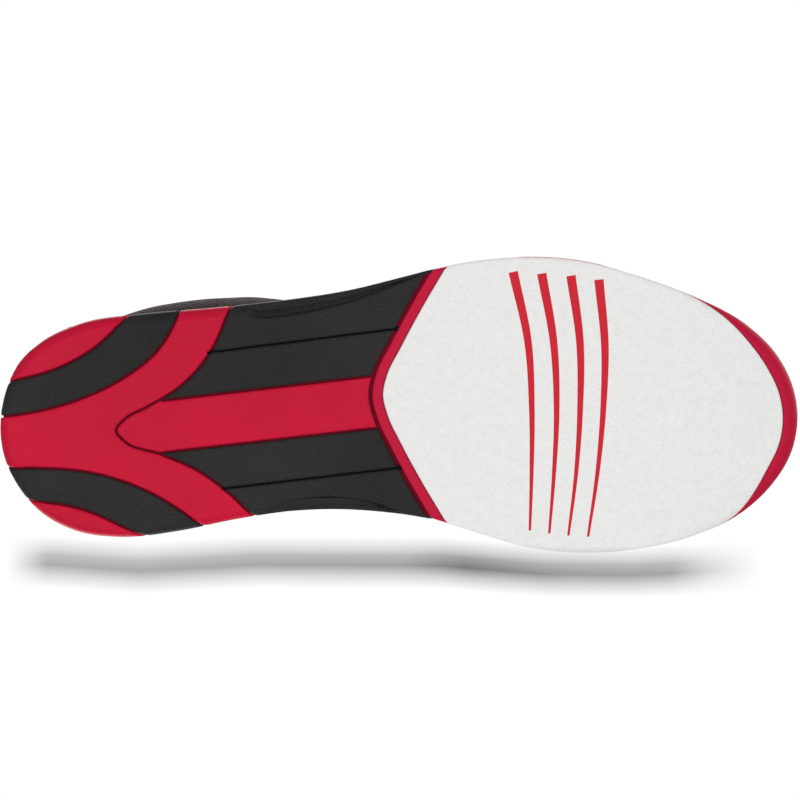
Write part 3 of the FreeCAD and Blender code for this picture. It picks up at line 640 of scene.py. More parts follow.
def build_blocks():
    """The coloured rubber blocks of heel and shank, cut out of one wrapped layout."""
    plan = Layout()
    plan.loop(EDGE[::4] - EDGE_IN[::4] * cladding_reach(EDGE[::4])[:, None])
    lines = [(path, GROOVE, EDGE_ROWS[1:], 1.6) for path in groove_lines()]
    lines += [(path, PLANK_GROOVE, EDGE_ROWS[1:5], 1.8) for path in plank_lines()]
    for path, width, gaps, step in lines:
        left, right = band(path, width)
        plan.loop(np.vstack([left, right[::-1]]))
        for gap in gaps:
            for side in band(path, width + 2 * gap, step):
                plan.scatter(side)

    def keep(q):
        return back_of_border(q, BORDER_WIDTH - 2)

    plan.scatter(outline_rows(keep))
    plan.scatter(scallop_rows())
    plan.scatter(shell_grid(3.6, lambda q: keep(q) & (inset_from_edge(q)[0] > 3)))
    verts, faces, centre = plan.triangles()
    d, nearest_edge = inset_from_edge(centre)
    good = (d > -cladding_reach(EDGE[nearest_edge]) - 0.02) & back_of_border(centre, BORDER_WIDTH + 0.2)
    gap_to_groove = np.full(len(verts), FAR)
    for path, width, _, _ in lines:
        fine = even(path, 1100)
        gap_to_groove = np.minimum(gap_to_groove, distance(verts, fine) - width / 2)
        good &= distance(centre, fine) - width / 2 > -0.01
    height = edge_height(np.maximum(gap_to_groove, 0)) + scallop(verts)
    made = {}
    for g in regions(chosen(faces, good)):
        if len(g) <= LEAST_FACES:
            continue
        middle = middles(verts, g)
        for name, (place, rubber_name) in BLOCKS.items():
            if name not in made and (((middle - place) ** 2).sum(1) < 4).any():
                made[name] = block_mesh(name + "_rubber", verts, g, height, MAT[rubber_name], GROOVE_DEEP)
                break
    return made


def build_groove_floor():
    """What shows at the bottom of the grooves, coloured as painted shade: dark red, and near black under the
    planks' grooves.
    """
    plan = Layout()
    reach = cladding_reach(EDGE) - 0.8
    plan.loop((EDGE - EDGE_IN * reach[:, None])[::6])

    def keep(q):
        return back_of_border(q, BORDER_WIDTH - 1.2)

    plan.scatter(outline_rows(keep))
    lines = groove_lines()
    for path in lines:
        for offset in (0.0, 1.2, 2.2):
            plan.scatter(np.vstack(band(path, 2 * offset + 0.02, 2.0)))
    verts, faces, centre = plan.triangles()
    d, k = inset_from_edge(centre)
    good = keep(centre) & (d > -reach[k] - 0.02)
    beside = np.full(len(centre), FAR)
    for path in lines:
        beside = np.minimum(beside, distance(centre, even(path, 900)))
    good &= beside < GROOVE_FLOOR_REACH
    depth = GROOVE_DEEP - 0.45 + scallop(verts)
    floor = mesh_object("groove_shade_floor", wrap(verts, depth), chosen(faces, good), MAT["groove"])
    strips = []
    for path in plank_lines():
        strips.append(np.stack(band(path, PLANK_GROOVE + 1.0), axis=1))
    rows = np.concatenate(strips)
    flat = wrap(rows.reshape(-1, 2), np.full(rows.shape[0] * 2, GROOVE_DEEP - 0.65))
    count = len(strips[0])
    quads = [(2 * i, 2 * i + 1, 2 * i + 3, 2 * i + 2) for i in range(len(rows) - 1) if (i + 1) % count]
    dark = mesh_object("plank_groove_shade_floor", flat, quads, MAT["plank_groove_shade"])
    return recalc(floor), recalc(dark)


for name, piece in build_blocks().items():
    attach(piece, "rearfoot")
    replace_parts(piece, name.replace("_outer", ""))
for piece in build_groove_floor():
    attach(piece, "rearfoot")
    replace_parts(piece, "outsole_web")


# ---------------------------------------------------------------- slide pad, print, rand
def pad_inset(p):
    """How far the pad's edge stands inside the outline at outline points p."""
    x, y = p[:, 0], p[:, 1]
    start = np.where(y < 5, 106.0, 121.0)
    f = np.clip((x - start) / (147.0 - start), 0, 1)
    return -PAD_EDGE_OUT + (PAD_EDGE_OUT + PAD_TOE_INSET) * f * f * (3 - 2 * f)


PAD_LOOP = EDGE + EDGE_IN * pad_inset(EDGE)[:, None]


def bend(piece, *nodes):
    """A continuous piece across the ball line, in place of its rear and front CAD nodes."""
    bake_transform(piece)
    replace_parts(piece, *nodes)
    return piece


def pad_gap(points):
    """Signed distance inside the pad's edge."""
    i = nearest(points, PAD_LOOP)
    n = EDGE_IN[i]
    side = ((points - PAD_LOOP[i]) * n).sum(1)
    k = nearest(points, PAD_EDGE)
    rear = -((points - PAD_EDGE[k]) * PAD_EDGE_BACK[k]).sum(1)
    return np.minimum(side, rear)


def build_pad():
    """The white slide pad: one skin with a rounded edge that turns up into the sole."""
    plan = Layout()
    plan.loop(PAD_LOOP[::4])
    plan.loop(PAD_EDGE, closed=False)
    for gap in (0.15, 0.35, 0.6, 0.9, 1.4, 2.2):
        plan.scatter((PAD_LOOP + EDGE_IN * gap)[::4])
        plan.scatter(PAD_EDGE - PAD_EDGE_BACK * gap)
    plan.scatter(shell_grid(3.0, lambda q: pad_gap(q) > 2.4))
    verts, faces, centre = plan.triangles()
    kept = chosen(faces, pad_gap(centre) > 0)
    gap = np.maximum(pad_gap(verts), 0)
    f = np.clip(1 - gap / 0.6, 0, 1)
    height = PAD_LIFT + 0.45 * (1 - np.sqrt(1 - f * f))
    return block_mesh("slide_pad", verts, kept, height, MAT["pad"], 2.3)


def build_stripe(k, points):
    """One printed stripe: a thin sheet on the pad, tapering to the medial side."""
    row = even(hermite_path(points, False), 90)
    n = left_normals(row)
    half = np.linspace(STRIPE_WIDE, STRIPE_NARROW, len(row)) / 2
    across = np.linspace(-1, 1, 5)
    verts = np.vstack([row + n * (half * a)[:, None] for a in across])
    flat = wrap(verts, np.full(len(verts), PAD_LIFT - PRINT_THICK))
    return recalc(mesh_object(f"pad_stripe_{k}", flat, strip_faces(len(across), len(row)), MAT["stripe"]))


def build_rand():
    """The red rubber rim: chevron border behind the pad and cup wall round the forefoot."""
    plan = Layout()
    reach = 10.6
    plan.loop(EDGE[::4] - EDGE_IN[::4] * reach)
    plan.loop(PAD_LOOP[::4] - EDGE_IN[::4] * 0.18)
    rear_inner = PAD_EDGE + PAD_EDGE_BACK * 0.18
    rear_outer = PAD_EDGE + PAD_EDGE_BACK * (BORDER_WIDTH - 0.25)
    plan.loop(rear_inner, closed=False)
    first = rear_outer[0] + (rear_outer[0] - rear_outer[5]) * 6
    last = rear_outer[-1] + (rear_outer[-1] - rear_outer[-6]) * 6
    plan.loop(np.vstack([[first], rear_outer, [last]]), closed=False)
    for gap in (0.2, 0.45, 0.8, 1.3):
        plan.scatter(rear_inner + PAD_EDGE_BACK * gap)
        plan.scatter(rear_outer - PAD_EDGE_BACK * gap)
        plan.scatter(PAD_LOOP[::4] - EDGE_IN[::4] * (0.18 + gap))
    plan.scatter(outline_rows(lambda q: ~back_of_border(q, BORDER_WIDTH - 0.4) & (pad_gap(q) < -0.4)))
    verts, faces, centre = plan.triangles()
    d, _ = inset_from_edge(centre)
    ok = (d > -reach - 0.02) & ~back_of_border(centre, BORDER_WIDTH - 0.25) & (pad_gap(centre) < -0.17)
    kept = chosen(faces, ok)
    inner = np.clip(1 - (-pad_gap(verts) - 0.18) / 0.7, 0, 1)
    k = nearest(verts, PAD_EDGE)
    back = BORDER_WIDTH - 0.25 - ((verts - PAD_EDGE[k]) * PAD_EDGE_BACK[k]).sum(1)
    outer = np.clip(1 - back / 0.7, 0, 1)
    height = 0.35 + 0.6 * (1 - np.sqrt(1 - inner**2)) + 0.6 * (1 - np.sqrt(1 - outer**2))
    return block_mesh("rand", verts, kept, height, MAT["rubber_rand"], 3.0)


def ring_mesh(name, profile, material, step=4):
    """A loft round the sole's outline. profile(p) gives rows of (inset, height) for outline points p."""
    p, n = EDGE[::step], EDGE_IN[::step]
    rows = profile(p)
    verts = []
    for inset, z in rows:
        xy = p + n * np.asarray(inset).reshape(-1, 1)
        verts.append(np.column_stack([xy, z]))
    return recalc(mesh_object(name, np.vstack(verts), strip_faces(len(rows), len(p), closed=True), material))


MIDSOLE_LEAN = 0.10         # the midsole's side leans in by this much per mm of height


def midsole_profile(p):
    """Rows of the midsole's side, from under the sole's edge over its rim to the feather line."""
    top = midsole_top(p[:, 0])
    low = ground(p[:, 0]) + 2.0
    one = np.ones(len(p))
    high = top + 1.6
    tall = high - low
    rows = [(one * 4.5, low), (one * 1.6, low + 0.4), (one * (1.1 + MIDSOLE_LEAN), low + 1.5)]
    for share, inset in ((0.30, 0.95), (0.5, 0.9), (0.68, 0.85), (0.80, 0.75), (0.88, 0.62), (0.94, 0.75),
                         (0.975, 1.15), (1.0, 2.0)):
        rows.append((inset + MIDSOLE_LEAN * tall * share, low + tall * share))
    for inset, z in ((3.9, high + 0.05), (4.6, high - 0.3), (5.1, high - 1.0), (5.6, top - 0.4),
                     (9.0, top - 0.5)):
        rows.append((one * inset, z))
    return rows


pad = bend(build_pad(), "slide_pad_rear", "slide_pad_front")
stripes = [build_stripe(k, points) for k, points in enumerate(STRIPES)]
rand = bend(build_rand(), "rand_rear", "rand_front")
midsole = bend(ring_mesh("midsole", midsole_profile, MAT["midsole"]), "midsole_rear", "midsole_front")
for k, stripe in enumerate(stripes):
    bend(stripe, "pad_stripe_rear" if k == 0 else "pad_stripes_front")


# ---------------------------------------------------------------- the upper's surface
# its top edge: (share of the way from heel to toe, x, distance from the ridge line, height)
TOP_EDGE = [(0.000, -139.0, 0.0, 98.0), (0.040, -136.5, 13.0, 97.0), (0.085, -129.0, 23.5, 91.0),
            (0.140, -116.0, 29.0, 82.5), (0.195, -98.0, 31.0, 78.0), (0.260, -74.0, 29.5, 82.5),
            (0.315, -55.0, 25.0, 94.0), (0.345, -44.5, 21.5, 101.5), (0.380, -33.0, 18.5, 99.0),
            (0.450, -12.0, 14.5, 88.5), (0.515, 7.0, 11.5, 77.5), (0.560, 20.0, 9.6, 70.5),
            (0.600, 32.5, 10.2, 66.0), (0.640, 44.5, 11.6, 62.3), (0.700, 61.0, 13.5, 57.8),
            (0.760, 76.5, 14.4, 54.0), (0.820, 90.0, 13.9, 50.9), (0.880, 101.5, 11.9, 48.2),
            (0.940, 110.5, 7.6, 46.2), (1.000, 114.8, 0.0, 45.2)]
# its walls: (share of the way, outward lean at the foot, inward and upward lean at the top, fullness of both)
LEAN = [(0.00, 0.50, -0.30, 1.0, 0.34, 0.38), (0.10, 0.44, 0.18, 1.0, 0.34, 0.36),
        (0.18, 0.58, 0.34, 1.0, 0.34, 0.35), (0.25, 1.05, 0.46, 1.0, 0.34, 0.34),
        (0.32, 0.68, 0.50, 1.0, 0.35, 0.34), (0.40, 0.28, 0.54, 1.0, 0.36, 0.34),
        (0.52, 0.26, 0.85, 0.80, 0.38, 0.36), (0.62, 0.26, 1.0, 0.56, 0.44, 0.46),
        (0.75, 0.26, 1.0, 0.46, 0.52, 0.62), (0.88, 0.26, 1.0, 0.42, 0.64, 0.86),
        (1.00, 0.26, 1.0, 0.40, 0.80, 1.12)]
THROAT = 0.560              # share of the way where the lacing ends
TOE_BOX = 0.860             # where the toe box starts
TOE_SIDE = 0.09             # how much of the way the sides of the toe box's top take up
RIDGE_X = 20.0              # the ridge line bends here
RIDGE_Y = 1.0
CAMBER = 3.3                # how far the forefoot bulges above a flat top
WALL_SHARE = 0.36           # of the way across the forefoot, on each side
FOAM = 5.0
EYELETS = [0.375, 0.410, 0.445, 0.480, 0.515, 0.548]
EYELET_T = 0.925            # how far up the wall the eyelets are
TONGUE_DEPTH = 5.8          # below the upper's surface
TONGUE_THICK = 3.6
TONGUE_PAD = 4.4
TONGUE_FIRST = 0.597        # share of the way where the tongue is stitched on
TONGUE_BEND = 0.385         # where it leaves the facings
TONGUE_LAST = 0.292


def mirrored(rows, odd=()):
    """The table with two mirrored rows past each end, so the two sides join without a kink."""
    def flip(row, s):
        return (s,) + tuple(-v if k in odd else v for k, v in enumerate(row[1:], 1))

    before = [flip(r, -r[0]) for r in (rows[2], rows[1])]
    after = [flip(r, 2.0 - r[0]) for r in (rows[-2], rows[-3])]
    return before + rows + after


TOP_TABLE = mirrored(TOP_EDGE, odd=(2,))
LEAN_TABLE = mirrored(LEAN)
OUTLINE_PATH = hermite_path(OUTLINE, True)
OUTLINE_RUN = run_along(OUTLINE_PATH)
TOE_POINT = 18              # the OUTLINE point where the lateral side ends
LATERAL_SHARE = OUTLINE_RUN[TOE_POINT * PER_SPAN] / OUTLINE_RUN[-1]


def unit(v):
    return v / np.maximum(np.linalg.norm(v, axis=-1, keepdims=True), 1e-9)


def footing(lateral, s):
    """Points on the feather line (where the upper meets the sole)."""
    along = np.where(lateral, LATERAL_SHARE * s, 1 - (1 - LATERAL_SHARE) * s) * len(EDGE)
    i = np.floor(along).astype(int)
    f = (along - i)[:, None]
    a, b = i % len(EDGE), (i + 1) % len(EDGE)
    p = EDGE[a] * (1 - f) + EDGE[b] * f + (EDGE_IN[a] * (1 - f) + EDGE_IN[b] * f) * FEATHER_INSET
    return np.column_stack([p, midsole_top(p[:, 0]) + 0.1])


def ridge_y(x):
    """Middle line of the upper in plan."""
    return RIDGE_Y + np.where(x < RIDGE_X, -0.044, 0.036) * (x - RIDGE_X)


def crown(lateral, s):
    """Points on the top edge."""
    x, gap, z = table(TOP_TABLE, s).T
    return np.column_stack([x, ridge_y(x) + np.where(lateral, -1, 1) * np.maximum(gap, 0), z])


def wall(f, t):
    """Outer surface of the upper. f runs 0..1 along the lateral side from heel to toe and on to 2 along the
    medial side; negative f is the medial side of the heel. t runs up the wall."""
    f, t = np.broadcast_arrays(np.asarray(f, float) % 2.0, np.asarray(t, float))
    shape = f.shape
    f, t = f.ravel(), t.ravel()[:, None]
    lateral = f <= 1.0
    s = np.where(lateral, f, 2.0 - f)
    low, high = footing(lateral, s), crown(lateral, s)
    out_low, in_high, up_high, hold_low, hold_high = [c[:, None] for c in table(LEAN_TABLE, s).T]
    inward = high - low
    inward[:, 2] = 0
    inward = unit(inward)
    rise = np.array([[0.0, 0.0, 1.0]])
    height = (high[:, 2] - low[:, 2])[:, None]
    a = low + (rise - inward * out_low) * height * hold_low
    b = high - (rise * up_high + inward * in_high) * height * hold_high
    r = 1 - t
    return (low * r**3 + a * 3 * r * r * t + b * 3 * r * t * t + high * t**3).reshape(*shape, 3)


def arch(s, a):
    """Outer surface across the forefoot: a runs 0..1 from the lateral feather line over the ridge."""
    s, a = np.broadcast_arrays(np.asarray(s, float), np.asarray(a, float))
    shape = s.shape
    s, a = s.ravel(), a.ravel()
    p = np.where((a <= 0.5)[:, None], wall(s, np.clip(a / WALL_SHARE, -0.1, 1)),
                 wall(2.0 - s, np.clip((1 - a) / WALL_SHARE, -0.1, 1)))
    top = (a > WALL_SHARE) & (a < 1 - WALL_SHARE)
    lateral = np.ones(len(s), bool)
    left, right = crown(lateral, s), crown(~lateral, s)
    q = ((a - 0.5) / (0.5 - WALL_SHARE))[:, None]
    over = left * (1 - q) / 2 + right * (1 + q) / 2
    camber = CAMBER * (1 - 0.5 * smooth(0.58, TOE_BOX, s))
    over[:, 2] += camber * (1 - q[:, 0] ** 2) * (right[:, 1] - left[:, 1]) / 27.0
    return np.where(top[:, None], over, p).reshape(*shape, 3)


def toe_top(u, v):
    """Outer surface of the toe box's top: u runs across, v from its rear seam to the toe."""
    start, end = TOE_BOX + TOE_SIDE, 2.0 - TOE_BOX - TOE_SIDE
    rear = arch(TOE_BOX, WALL_SHARE + (1 - 2 * WALL_SHARE) * u)
    front = wall(start + (end - start) * u, 1.0)
    left, right = wall(TOE_BOX + TOE_SIDE * v, 1.0), wall(2.0 - TOE_BOX - TOE_SIDE * v, 1.0)
    c00, c10, c01, c11 = (wall(f, 1.0) for f in (TOE_BOX, 2.0 - TOE_BOX, start, end))
    u, v = u[..., None], v[..., None]
    p = rear * (1 - v) + front * v + left * (1 - u) + right * u
    p -= c00 * (1 - u) * (1 - v) + c10 * u * (1 - v) + c01 * (1 - u) * v + c11 * u * v
    p[..., 2] += (CAMBER * 0.6 * 4 * v * (1 - v) * u * (1 - u))[..., 0]
    return p


def normals_of(surface, u, v, h=1e-3):
    """Outward unit normals of a surface."""
    du = surface(u + h, v) - surface(u - h, v)
    dv = surface(u, np.minimum(v + h, 1.0)) - surface(u, np.maximum(v - h, 0.0))
    return unit(np.cross(du, dv))


def foam_depth(f, t):
    """Thickness of the collar's padding: full below the topline, thin at its edges."""
    across = smooth(0.50, 0.70, t) * (1 - 0.55 * smooth(0.88, 1.0, t))
    return FOAM * across * (1 - 0.8 * smooth(0.27, 0.36, np.abs(f)))


# ---------------------------------------------------------------- sewn panels
ROLL_STEPS = [0.0, 0.1, 0.25, 0.5, 0.85, 1.4]       # distances from a panel's edge where the mesh has a row


def spread(length, step):
    """Shares 0..1 along a length in mm, close together at both ends."""
    ends = np.array(ROLL_STEPS)
    count = max(int((length - 2 * ends[-1]) / step), 2)
    middle = np.linspace(ends[-1], length - ends[-1], count + 1)
    return np.concatenate([ends[:-1], middle, length - ends[:-1][::-1]]) / length


def runs(points, axis):
    """Length along a grid from its first row, in mm."""
    step = np.linalg.norm(np.diff(points, axis=axis), axis=-1)
    first = np.zeros_like(np.take(step, [0], axis=axis))
    return np.cumsum(np.concatenate([first, step], axis=axis), axis=axis)


class Panel:
    """A piece of the upper cut from a surface: at(u, v) with u and v in 0..1 gives surface parameters."""

    def __init__(self, surface, span, low, high, sign=1):
        self.surface, self.span, self.low, self.high, self.sign = surface, span, low, high, sign

    def params(self, u, v):
        f = self.span[0] + (self.span[1] - self.span[0]) * u
        low = self.low(f) if callable(self.low) else self.low
        high = self.high(f) if callable(self.high) else self.high
        return f, low + (high - low) * v

    def points(self, u, v):
        return self.surface(*self.params(u, v))

    def normals(self, u, v):
        return normals_of(self.surface, *self.params(u, v)) * self.sign

    def size(self):
        middle = np.linspace(0, 1, 30)
        half = np.full(30, 0.5)
        return path_length(self.points(middle, half)), path_length(self.points(half, middle))


def grid_faces(rows, columns, base=0):
    return [(base + i * columns + j, base + (i + 1) * columns + j, base + (i + 1) * columns + j + 1,
             base + i * columns + j + 1) for i in range(rows - 1) for j in range(columns - 1)]


def grid_object(name, points, material, uv=None):
    """A mesh from a grid of points (rows, columns, 3), with uv in mm."""
    rows, columns = points.shape[:2]
    o = mesh_object(name, points.reshape(-1, 3), grid_faces(rows, columns), material)
    if uv is None:
        uv = np.stack([runs(points, 0), runs(points, 1)], axis=-1)
    lay_uv(o, uv.reshape(-1, 2))
    return o


def lay_uv(o, uv):
    """Give a mesh a uv map in metres from one (u, v) pair in mm a vertex."""
    layer = o.data.uv_layers.new(name="cloth")
    corner = np.empty(len(o.data.loops), int)
    o.data.loops.foreach_get("vertex_index", corner)
    layer.data.foreach_set("uv", (uv[corner] * MM).ravel())


def sewn(name, panel, lift, material, step=2.4, thick=0.9, deep=0.7, body="rearfoot"):
    """A panel lying lift above the surface, with a rolled edge that turns down to what it lies on."""
    across, up = panel.size()
    u, v = np.meshgrid(spread(across, step), spread(up, step), indexing="ij")
    p, n = panel.points(u, v), panel.normals(u, v)
    a, b = runs(p, 0), runs(p, 1)
    gap = np.minimum(np.minimum(a, a[-1:] - a), np.minimum(b, b[:, -1:] - b))
    f = np.clip(1 - gap / thick, 0, 1)
    height = lift - thick * (1 - np.sqrt(1 - f * f))
    top = p + n * height[..., None]
    edged = np.pad(top, ((1, 1), (1, 1), (0, 0)), mode="edge")
    under = np.pad(n, ((1, 1), (1, 1), (0, 0)), mode="edge") * deep
    edged[0], edged[-1] = edged[0] - under[0], edged[-1] - under[-1]
    edged[1:-1, 0] -= under[1:-1, 0]
    edged[1:-1, -1] -= under[1:-1, -1]
    uv = np.pad(np.stack([a, b], axis=-1), ((1, 1), (1, 1), (0, 0)), mode="edge")
    o = grid_object(name, edged, material, uv)
    if panel.sign < 0:
        o.data.flip_normals()
    if body:
        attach(o, body)
    return o


def stitch_mesh(name, rows, material, length=2.7, pitch=3.5, radius=0.33, body="rearfoot"):
    """Sewn stitches along 3D lines: rows of (points, normals), both in mm."""
    ring = np.linspace(0, 2 * math.pi, 7)[:-1]
    profile = [(-0.5, 0.10), (-0.42, 0.75), (-0.2, 1.0), (0.2, 1.0), (0.42, 0.75), (0.5, 0.10)]
    verts, faces = [], []
    for points, normals in rows:
        run = run_along(points)
        count = max(int(run[-1] / pitch), 1)
        at = (np.arange(count) + 0.5) * run[-1] / count
        centre = np.column_stack([np.interp(at, run, points[:, k]) for k in range(3)])
        ahead = np.column_stack([np.interp(at + 0.4, run, points[:, k]) for k in range(3)])
        behind = np.column_stack([np.interp(at - 0.4, run, points[:, k]) for k in range(3)])
        up = unit(np.column_stack([np.interp(at, run, normals[:, k]) for k in range(3)]))
        along = unit(ahead - behind)
        side = np.cross(along, up)
        for c, d, w, z in zip(centre, along, side, up):
            base = len(verts)
            for share, fat in profile:
                sag = z * (0.22 - 1.5 * share * share) * radius
                for angle in ring:
                    verts.append(c + d * share * length + sag
                                 + (w * math.cos(angle) * 1.15 + z * math.sin(angle) * 0.8) * radius * fat)
            for k in range(len(profile) - 1):
                for j in range(6):
                    a, b = base + k * 6 + j, base + k * 6 + (j + 1) % 6
                    faces.append((a, b, b + 6, a + 6))
    o = mesh_object(name, verts, faces, material)
    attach(o, body)
    return o


def border(panel, inset, lift, sides="lrbt", points=60):
    """Lines for stitching, inset mm inside a panel's edges (left, right, bottom, top)."""
    across, up = panel.size()
    du, dv = inset / across, inset / up
    line = np.linspace(0, 1, points)
    found = []
    for side, u, v in (("l", np.full(points, du), dv + (1 - 2 * dv) * line),
                       ("r", np.full(points, 1 - du), dv + (1 - 2 * dv) * line),
                       ("b", du + (1 - 2 * du) * line, np.full(points, dv)),
                       ("t", du + (1 - 2 * du) * line, np.full(points, 1 - dv))):
        if side in sides:
            n = panel.normals(u, v)
            found.append((panel.points(u, v) + n * lift, n))
    return found


# ---------------------------------------------------------------- materials of the upper
def cloth_coords(n, rotate=0.0, scale=(1, 1, 1)):
    """Coordinates in metres on the cloth itself."""
    uv = n.new("ShaderNodeUVMap", uv_map="cloth").outputs[0]
    m = n.new("ShaderNodeMapping")
    m.inputs["Rotation"].default_value = (0, 0, math.radians(rotate))
    m.inputs["Scale"].default_value = scale
    n.link(uv, m.inputs["Vector"])
    return m.outputs[0]


def mesh_fabric(name, colour, fleck, fleck_share=0.56):
    """Engineered mesh: a net of small holes painted darker than the yarn, as painted shade inside them, with
    flecks of coloured yarn.
    """
    n = Nodes(name)
    at = cloth_coords(n, 30, (1, 1.25, 1))
    holes = n.cells(620, at)
    net = n.ramp(holes, [(0.20, (0, 0, 0)), (0.42, (1, 1, 1))])
    yarn = n.bands(420, "DIAGONAL", at)
    dashes = n.noise(1000, 1, 0.5, cloth_coords(n, 0, (1, 0.4, 1)))
    fleck_mask = n.ramp(dashes, [(fleck_share, (0, 0, 0)), (fleck_share + 0.04, (1, 1, 1))])
    mix = n.new("ShaderNodeMix", data_type="RGBA")
    mix.inputs[6].default_value = (*colour, 1)
    mix.inputs[7].default_value = (*fleck, 1)
    n.link(fleck_mask, mix.inputs[0])
    # the holes darken the yarn's colour: painted shade in the holes
    dark = n.new("ShaderNodeMix", data_type="RGBA", blend_type="MULTIPLY")
    dark.inputs[0].default_value = 0.75
    n.link(mix.outputs[2], dark.inputs[6])
    n.link(net, dark.inputs[7])
    fine = n.bump(yarn, 0.00012, 0.4)
    return n.finish(dark.outputs[2], 0.82, n.bump(net, 0.0004, 0.7, fine), Specular_IOR_Level=0.06,
                    Sheen_Weight=0.04, Sheen_Roughness=0.5)


def leather(name, colour, roughness=0.42):
    """Synthetic leather: pebbled grain, soft creases and a slightly uneven sheen."""
    n = Nodes(name)
    pebble = n.cells(900)
    broad = n.noise(30, 4, 0.6)
    col = n.ramp(broad, [(0.30, shade(colour, 0.85)), (0.70, shade(colour, 1.18))])
    creases = n.bump(n.noise(150, 4, 0.6), 0.0002, 0.35)
    rough = n.math("ADD", n.math("MULTIPLY", n.noise(60, 3, 0.6), 0.2), roughness - 0.1)
    return n.finish(col, rough, n.bump(pebble, 0.00014, 0.5, creases), Specular_IOR_Level=0.22,
                    Coat_Weight=0.02, Coat_Roughness=0.4)


def knit(name, colour, scale=700):
    """Brushed knit: columns of loops with a soft nap, the colour darker in the dips between the loops as
    painted shade of their relief.
    """
    n = Nodes(name)
    at = cloth_coords(n)
    loops = n.math("MULTIPLY", n.bands(scale, "X", at), n.bands(scale * 0.8, "Y", at))
    nap = n.noise(1300, 4, 0.7)
    # colour follows the loops' relief: painted shade between the loops
    col = n.ramp(n.blend(loops, nap, 0.4), [(0.1, shade(colour, 0.6)), (0.8, shade(colour, 1.25))])
    relief = n.bump(loops, 0.00022, 0.6, n.bump(nap, 0.0001, 0.4))
    return n.finish(col, 0.9, relief, Specular_IOR_Level=0.2, Sheen_Weight=0.2, Sheen_Roughness=0.5)


def woven(name, colour, across=1100, along=520):
    """Woven tape for lace and webbing: a herringbone of small raised threads, painted darker in the gaps
    between them as their shade.
    """
    n = Nodes(name)
    one = n.bands(across, "DIAGONAL", cloth_coords(n))
    two = n.bands(across, "DIAGONAL", cloth_coords(n, 0, (1, -1, 1)))
    rib = n.bands(along, "X", cloth_coords(n))
    gaps = n.math("SUBTRACT", 1.0, rib)
    threads = n.math("MAXIMUM", n.math("MULTIPLY", one, rib), n.math("MULTIPLY", two, gaps))
    # colour follows the threads' relief: painted shade in the gaps
    col = n.ramp(threads, [(0.05, shade(colour, 0.45)), (0.65, shade(colour, 1.15))])
    return n.finish(col, 0.78, n.bump(threads, 0.0002, 0.7), Specular_IOR_Level=0.25, Sheen_Weight=0.15)


def plain(name, colour, roughness, bump_scale, metallic=0.0):
    """A simple solid surface with fine marks."""
    n = Nodes(name)
    marks = n.noise(bump_scale, 4, 0.6)
    col = n.ramp(n.noise(25, 4, 0.6), [(0.3, shade(colour, 0.85)), (0.7, shade(colour, 1.15))])
    rough = n.math("ADD", n.math("MULTIPLY", marks, 0.25), roughness - 0.12)
    return n.finish(col, rough, n.bump(marks, 0.00006, 0.4), Metallic=metallic)


LEATHER_BLACK = (0.022, 0.021, 0.022)
LEATHER_RED = (0.42, 0.010, 0.026)
MAT.update({
    "mesh": mesh_fabric("mesh_upper", (0.030, 0.026, 0.027), (0.11, 0.008, 0.013), 0.575),
    "tongue": mesh_fabric("mesh_tongue", (0.026, 0.024, 0.026), (0.10, 0.010, 0.014), 0.64),
    "leather_black": leather("leather_black", LEATHER_BLACK),
    "leather_red": leather("leather_red", LEATHER_RED),
    "lining": knit("lining_knit", (0.050, 0.047, 0.050)),
    "sock": knit("sockliner_fabric", (0.070, 0.066, 0.070), 900),
    "lace": woven("lace_weave", (0.50, 0.016, 0.034)),
    "webbing": woven("webbing_weave", (0.42, 0.012, 0.028), 800, 380),
    "thread": woven("thread", (0.36, 0.012, 0.024), 2400, 900),
    "metal": plain("eyelet_metal", (0.030, 0.030, 0.032), 0.34, 400, 0.9),
    # near-black discs in the eyelets: painted shade for the inside of each hole
    "hole": plain("eyelet_shade_disc", (0.004, 0.004, 0.004), 0.9, 400),
    "board": plain("fibre_board", (0.40, 0.34, 0.26), 0.85, 500),
    "shank": plain("shank_plastic", (0.05, 0.05, 0.05), 0.5, 300),
    "foam": plain("open_foam", (0.16, 0.16, 0.17), 0.95, 900),
})


# ---------------------------------------------------------------- panels of the upper
SHELL_LIFT = -0.95
OVER_LIFT = 0.05


def both(f0, f1):
    """A panel's span on each side of the shoe."""
    return {"lateral": (f0, f1), "medial": (2.0 - f1, 2.0 - f0)}


# how far up the wall three panels reach, at place f along it
def saddle_top(f):
    return 0.765 - 0.03 * smooth(0.50, 0.55, np.minimum(f, 2 - f))


def guard_top(f):
    return 0.74 - 0.56 * ((f - 1.0) / 0.235) ** 2


def clip_top(f):
    return 0.56 - 0.30 * (f / 0.15) ** 2


for word, span in both(0.147, THROAT + 0.004).items():
    shell = sewn(f"quarter_{word}_cloth", Panel(wall, span, 0.0, 1.0), SHELL_LIFT, MAT["mesh"], deep=1.2)
    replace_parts(shell, f"quarter_{word}")

heel_panel = Panel(wall, (-0.156, 0.156), 0.0, 0.985)
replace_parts(sewn("heel_leather", heel_panel, SHELL_LIFT + 0.55, MAT["leather_black"], deep=1.6), "heel_shell")
clip_panel = Panel(wall, (-0.150, 0.150), 0.01, clip_top)
clip = sewn("heel_clip_leather", clip_panel, OVER_LIFT + 0.35, MAT["leather_red"], thick=0.8, deep=0.8)
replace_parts(clip, "heel_clip")
stay_panel = Panel(wall, (-0.022, 0.022), 0.52, 0.93)
stay = sewn("heel_backstay_leather", stay_panel, OVER_LIFT + 0.3, MAT["leather_red"], thick=0.8, deep=0.8)
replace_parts(stay, "heel_backstay")
heel_lines = border(clip_panel, 1.9, 0.45, "t") + border(stay_panel, 1.7, 0.4, "lr")
stitch_mesh("heel_stitches", heel_lines, MAT["thread"])
stitch_mesh("heel_panel_stitches", border(heel_panel, 2.0, -0.3, "lr"), MAT["thread"])

